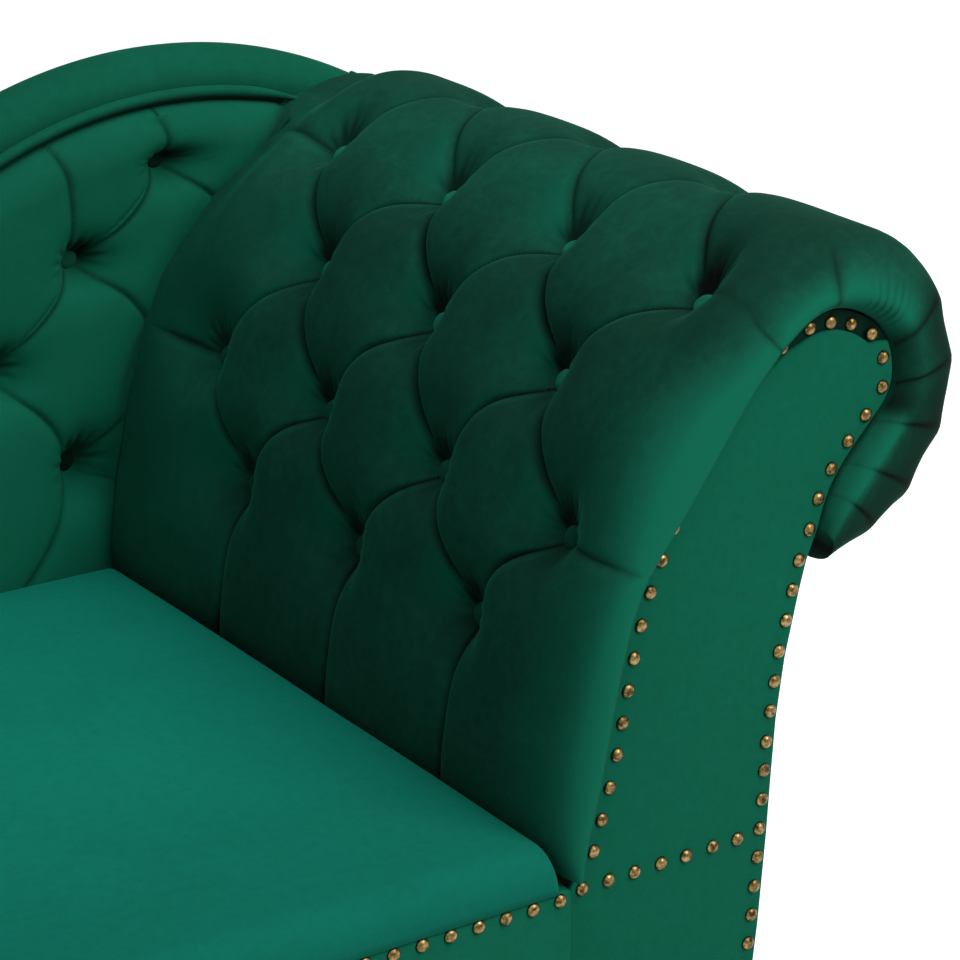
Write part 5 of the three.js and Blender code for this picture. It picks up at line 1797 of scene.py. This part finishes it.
@dataclass
class Studio:
    """The camera at the photograph's angle, the floor and the lamps."""

    bench: Bench
    # degrees that the camera turns and tilts, its focal length and picture width in pixels, and its sensor in mm
    turn: float = 34.14
    tilt: float = 20.74
    focal: float = 3458
    image: float = 960
    sensor: float = 36
    spot: tuple[float, float, float] = (-1197, -1646, 1058)

    def camera(self) -> None:
        """Stand the camera where the photograph was taken from."""
        psi, theta = math.radians(self.turn), math.radians(self.tilt)
        right = Vector((math.cos(psi), -math.sin(psi), 0))
        up = Vector((math.sin(psi) * math.sin(theta), math.cos(psi) * math.sin(theta), math.cos(theta)))
        back = right.cross(up)
        data = bpy.data.cameras.new("camera")
        data.sensor_width = self.sensor
        data.lens = self.sensor * self.focal / self.image
        data.clip_start, data.clip_end = 0.05, 60
        eye = new_object("camera", data)
        basis = Matrix((right, up, back)).transposed().to_4x4()
        eye.matrix_world = Matrix.Translation(self.bench.at(*self.spot)) @ basis
        bpy.context.scene.camera = eye

    def floor(self) -> None:
        """Lay a plain pale floor, which is white to the camera where nothing shades it."""
        mesh = bmesh.new()
        bmesh.ops.create_grid(mesh, x_segments=2, y_segments=2, size=7)
        data = bpy.data.meshes.new("floor")
        mesh.to_mesh(data)
        mesh.free()
        data.materials.append(self.floor_paint())
        ground = new_object("floor", data)

    def floor_paint(self) -> Finish:
        """Make matt white floor paint.

        Returns:
            Paint that shows near white to the camera and to reflections, and still takes the couch's shadow.
        """
        material, tree, where = new_tree("matt white floor paint")
        grain = add_noise(tree, where, size_mm=4, detail=2)
        tone = add_ramp(tree, grain.outputs["Fac"], [(0.3, "#dededd"), (0.7, "#e4e4e3")])
        paint = add_node(tree, "ShaderNodeBsdfDiffuse", {"Color": tone})
        _, seen = add_seen(tree)
        lift = add_sum(tree, "MULTIPLY", seen, 0.85)
        glow = add_node(tree, "ShaderNodeEmission", {"Color": linear("#ffffff"), "Strength": lift})
        both = add_node(tree, "ShaderNodeAddShader", {0: paint.outputs[0], 1: glow.outputs[0]})
        add_node(tree, "ShaderNodeOutputMaterial", {"Surface": both.outputs[0]})
        return material

    def lamp(self, name: str, way: Sequence[float], distance: float, size: float, power: float, tint: str) -> None:
        """Hang a soft square lamp.

        Args:
            name: Its name.
            way: Direction from the couch to the lamp.
            distance: How far off it hangs, in metres.
            size: Its side, in metres.
            power: Its power, in watts.
            tint: Its colour.
        """
        data = bpy.data.lights.new(name, "AREA")
        data.size = size
        data.energy = power
        data.color = linear(tint)[:3]
        lamp = new_object(name, data)
        towards = Vector(way).normalized()
        lamp.location = Vector((0.1, 0, 0.5)) + towards * distance
        lamp.rotation_mode = "QUATERNION"
        lamp.rotation_quaternion = (-towards).to_track_quat("-Z", "Y")

    def sky(self) -> None:
        """Light the room evenly, and show white behind the couch."""
        world = bpy.data.worlds.new("studio")
        bpy.context.scene.world = world
        world.use_nodes = True
        tree = world.node_tree
        tree.nodes.clear()
        path, seen = add_seen(tree)
        clear = add_sum(tree, "MAXIMUM", seen, path.outputs["Is Transmission Ray"])
        strength = add_node(tree, "ShaderNodeMapRange", {"Value": clear, "To Min": 0.12, "To Max": 1.0})
        shine = {"Color": linear("#ffffff"), "Strength": strength.outputs["Result"]}
        light = add_node(tree, "ShaderNodeBackground", shine)
        add_node(tree, "ShaderNodeOutputWorld", {"Surface": light.outputs[0]})

    def build(self) -> None:
        """Set up the floor, the lamps and the plain view."""
        self.floor()
        self.lamp("key", (0.5, -0.85, 0.75), distance=3.6, size=1.8, power=82, tint="#fffaf2")
        self.lamp("top", (0.1, -0.15, 1.0), distance=3.2, size=2.8, power=54, tint="#ffffff")
        self.lamp("fill", (-0.9, -0.9, 0.35), distance=4.2, size=2.6, power=4, tint="#f4f8ff")
        self.sky()
        bpy.context.scene.view_settings.view_transform = "Standard"


def dress_frame(finishes: dict[str, Finish]) -> None:
    """Give every node of the frame that still shows the finish of what it is made of.

    Args:
        finishes: The finish for the words that a node's name holds.
    """
    for name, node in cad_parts.items():
        if node.hide_render:
            continue
        finish = next((found for words, found in finishes.items() if any(w in name for w in words.split())), None)
        for index in range(len(node.material_slots)):
            node.material_slots[index].material = finish


def main() -> None:
    """Build the couch piece by piece."""
    logging.basicConfig(level=logging.INFO, format="%(name)s: %(message)s")
    bench = Bench.from_frame()
    studio = Studio(bench)
    studio.camera()
    # lit and shaded copies of one emerald velvet: the tufted ones darker, painted shade, and the seat's and the
    # buttons' lighter, painted light
    tufted = Velvet("emerald velvet, tufted, darkest copy for painted shade", "#0a3a2d", "#0f493a", "#145948", crush=0.34).material()
    backing = Velvet("emerald velvet, tufted back, darker copy for painted shade", "#0a4c3b", "#0b5743", "#0d624e").material()
    plain = Velvet("emerald velvet, drawn plain", "#0a5541", "#0b5f4a", "#0c6953", mottle_mm=140).material()
    seating = Velvet(
        "emerald velvet, seat, lighter copy for painted light", "#0a6958", "#0b7463", "#0d7e6c", mottle_mm=180
    ).material()
    button = Velvet("emerald velvet on button, lighter copy for painted light", "#125a47", "#17745d", "#1f9478", mottle_mm=12).material()
    scroll = Scroll()
    arm = Arm(bench, scroll, ArmTufts())
    arm.build(tufted, plain, button)
    Back(bench, scroll, RollLine()).build(backing, plain, tufted)
    Seat(bench).build(seating, plain)
    Nails(bench).build(AntiqueBrass().material(), arm)
    lacquered = "beech, stained dark and lacquered"
    stained = Timber(lacquered, "#3a2015", "#1d0f0a", ring_mm=9, along=(1, 1, 0.12), roughness=0.3, coat=0.5)
    cloth = Weave("non-woven dust cloth, black", "#121214", "#242426", thread_mm=1.2)
    Base(bench).build(stained.material(), cloth.material())
    dress_frame(
        {
            "leg_bolt": Speckled(
                "zinc plated steel", "#8d9296", "#b4b9bd", grain_mm=1.5, roughness=0.35, metallic=1.0
            ).material(),
            "webbing": Weave("jute webbing", "#7d6a48", "#c2ab7d", thread_mm=2.2).material(),
            "scroll_board deck back_board": Timber(
                "birch plywood", "#cfae7c", "#a98350", ring_mm=14, along=(0.12, 1, 1), roughness=0.7
            ).material(),
            "rail batten brace block": Timber(
                "sawn pine", "#d3b384", "#b08a58", ring_mm=10, along=(0.1, 1, 1), roughness=0.75
            ).material(),
        }
    )
    studio.build()


if __name__ == "__main__":
    main()
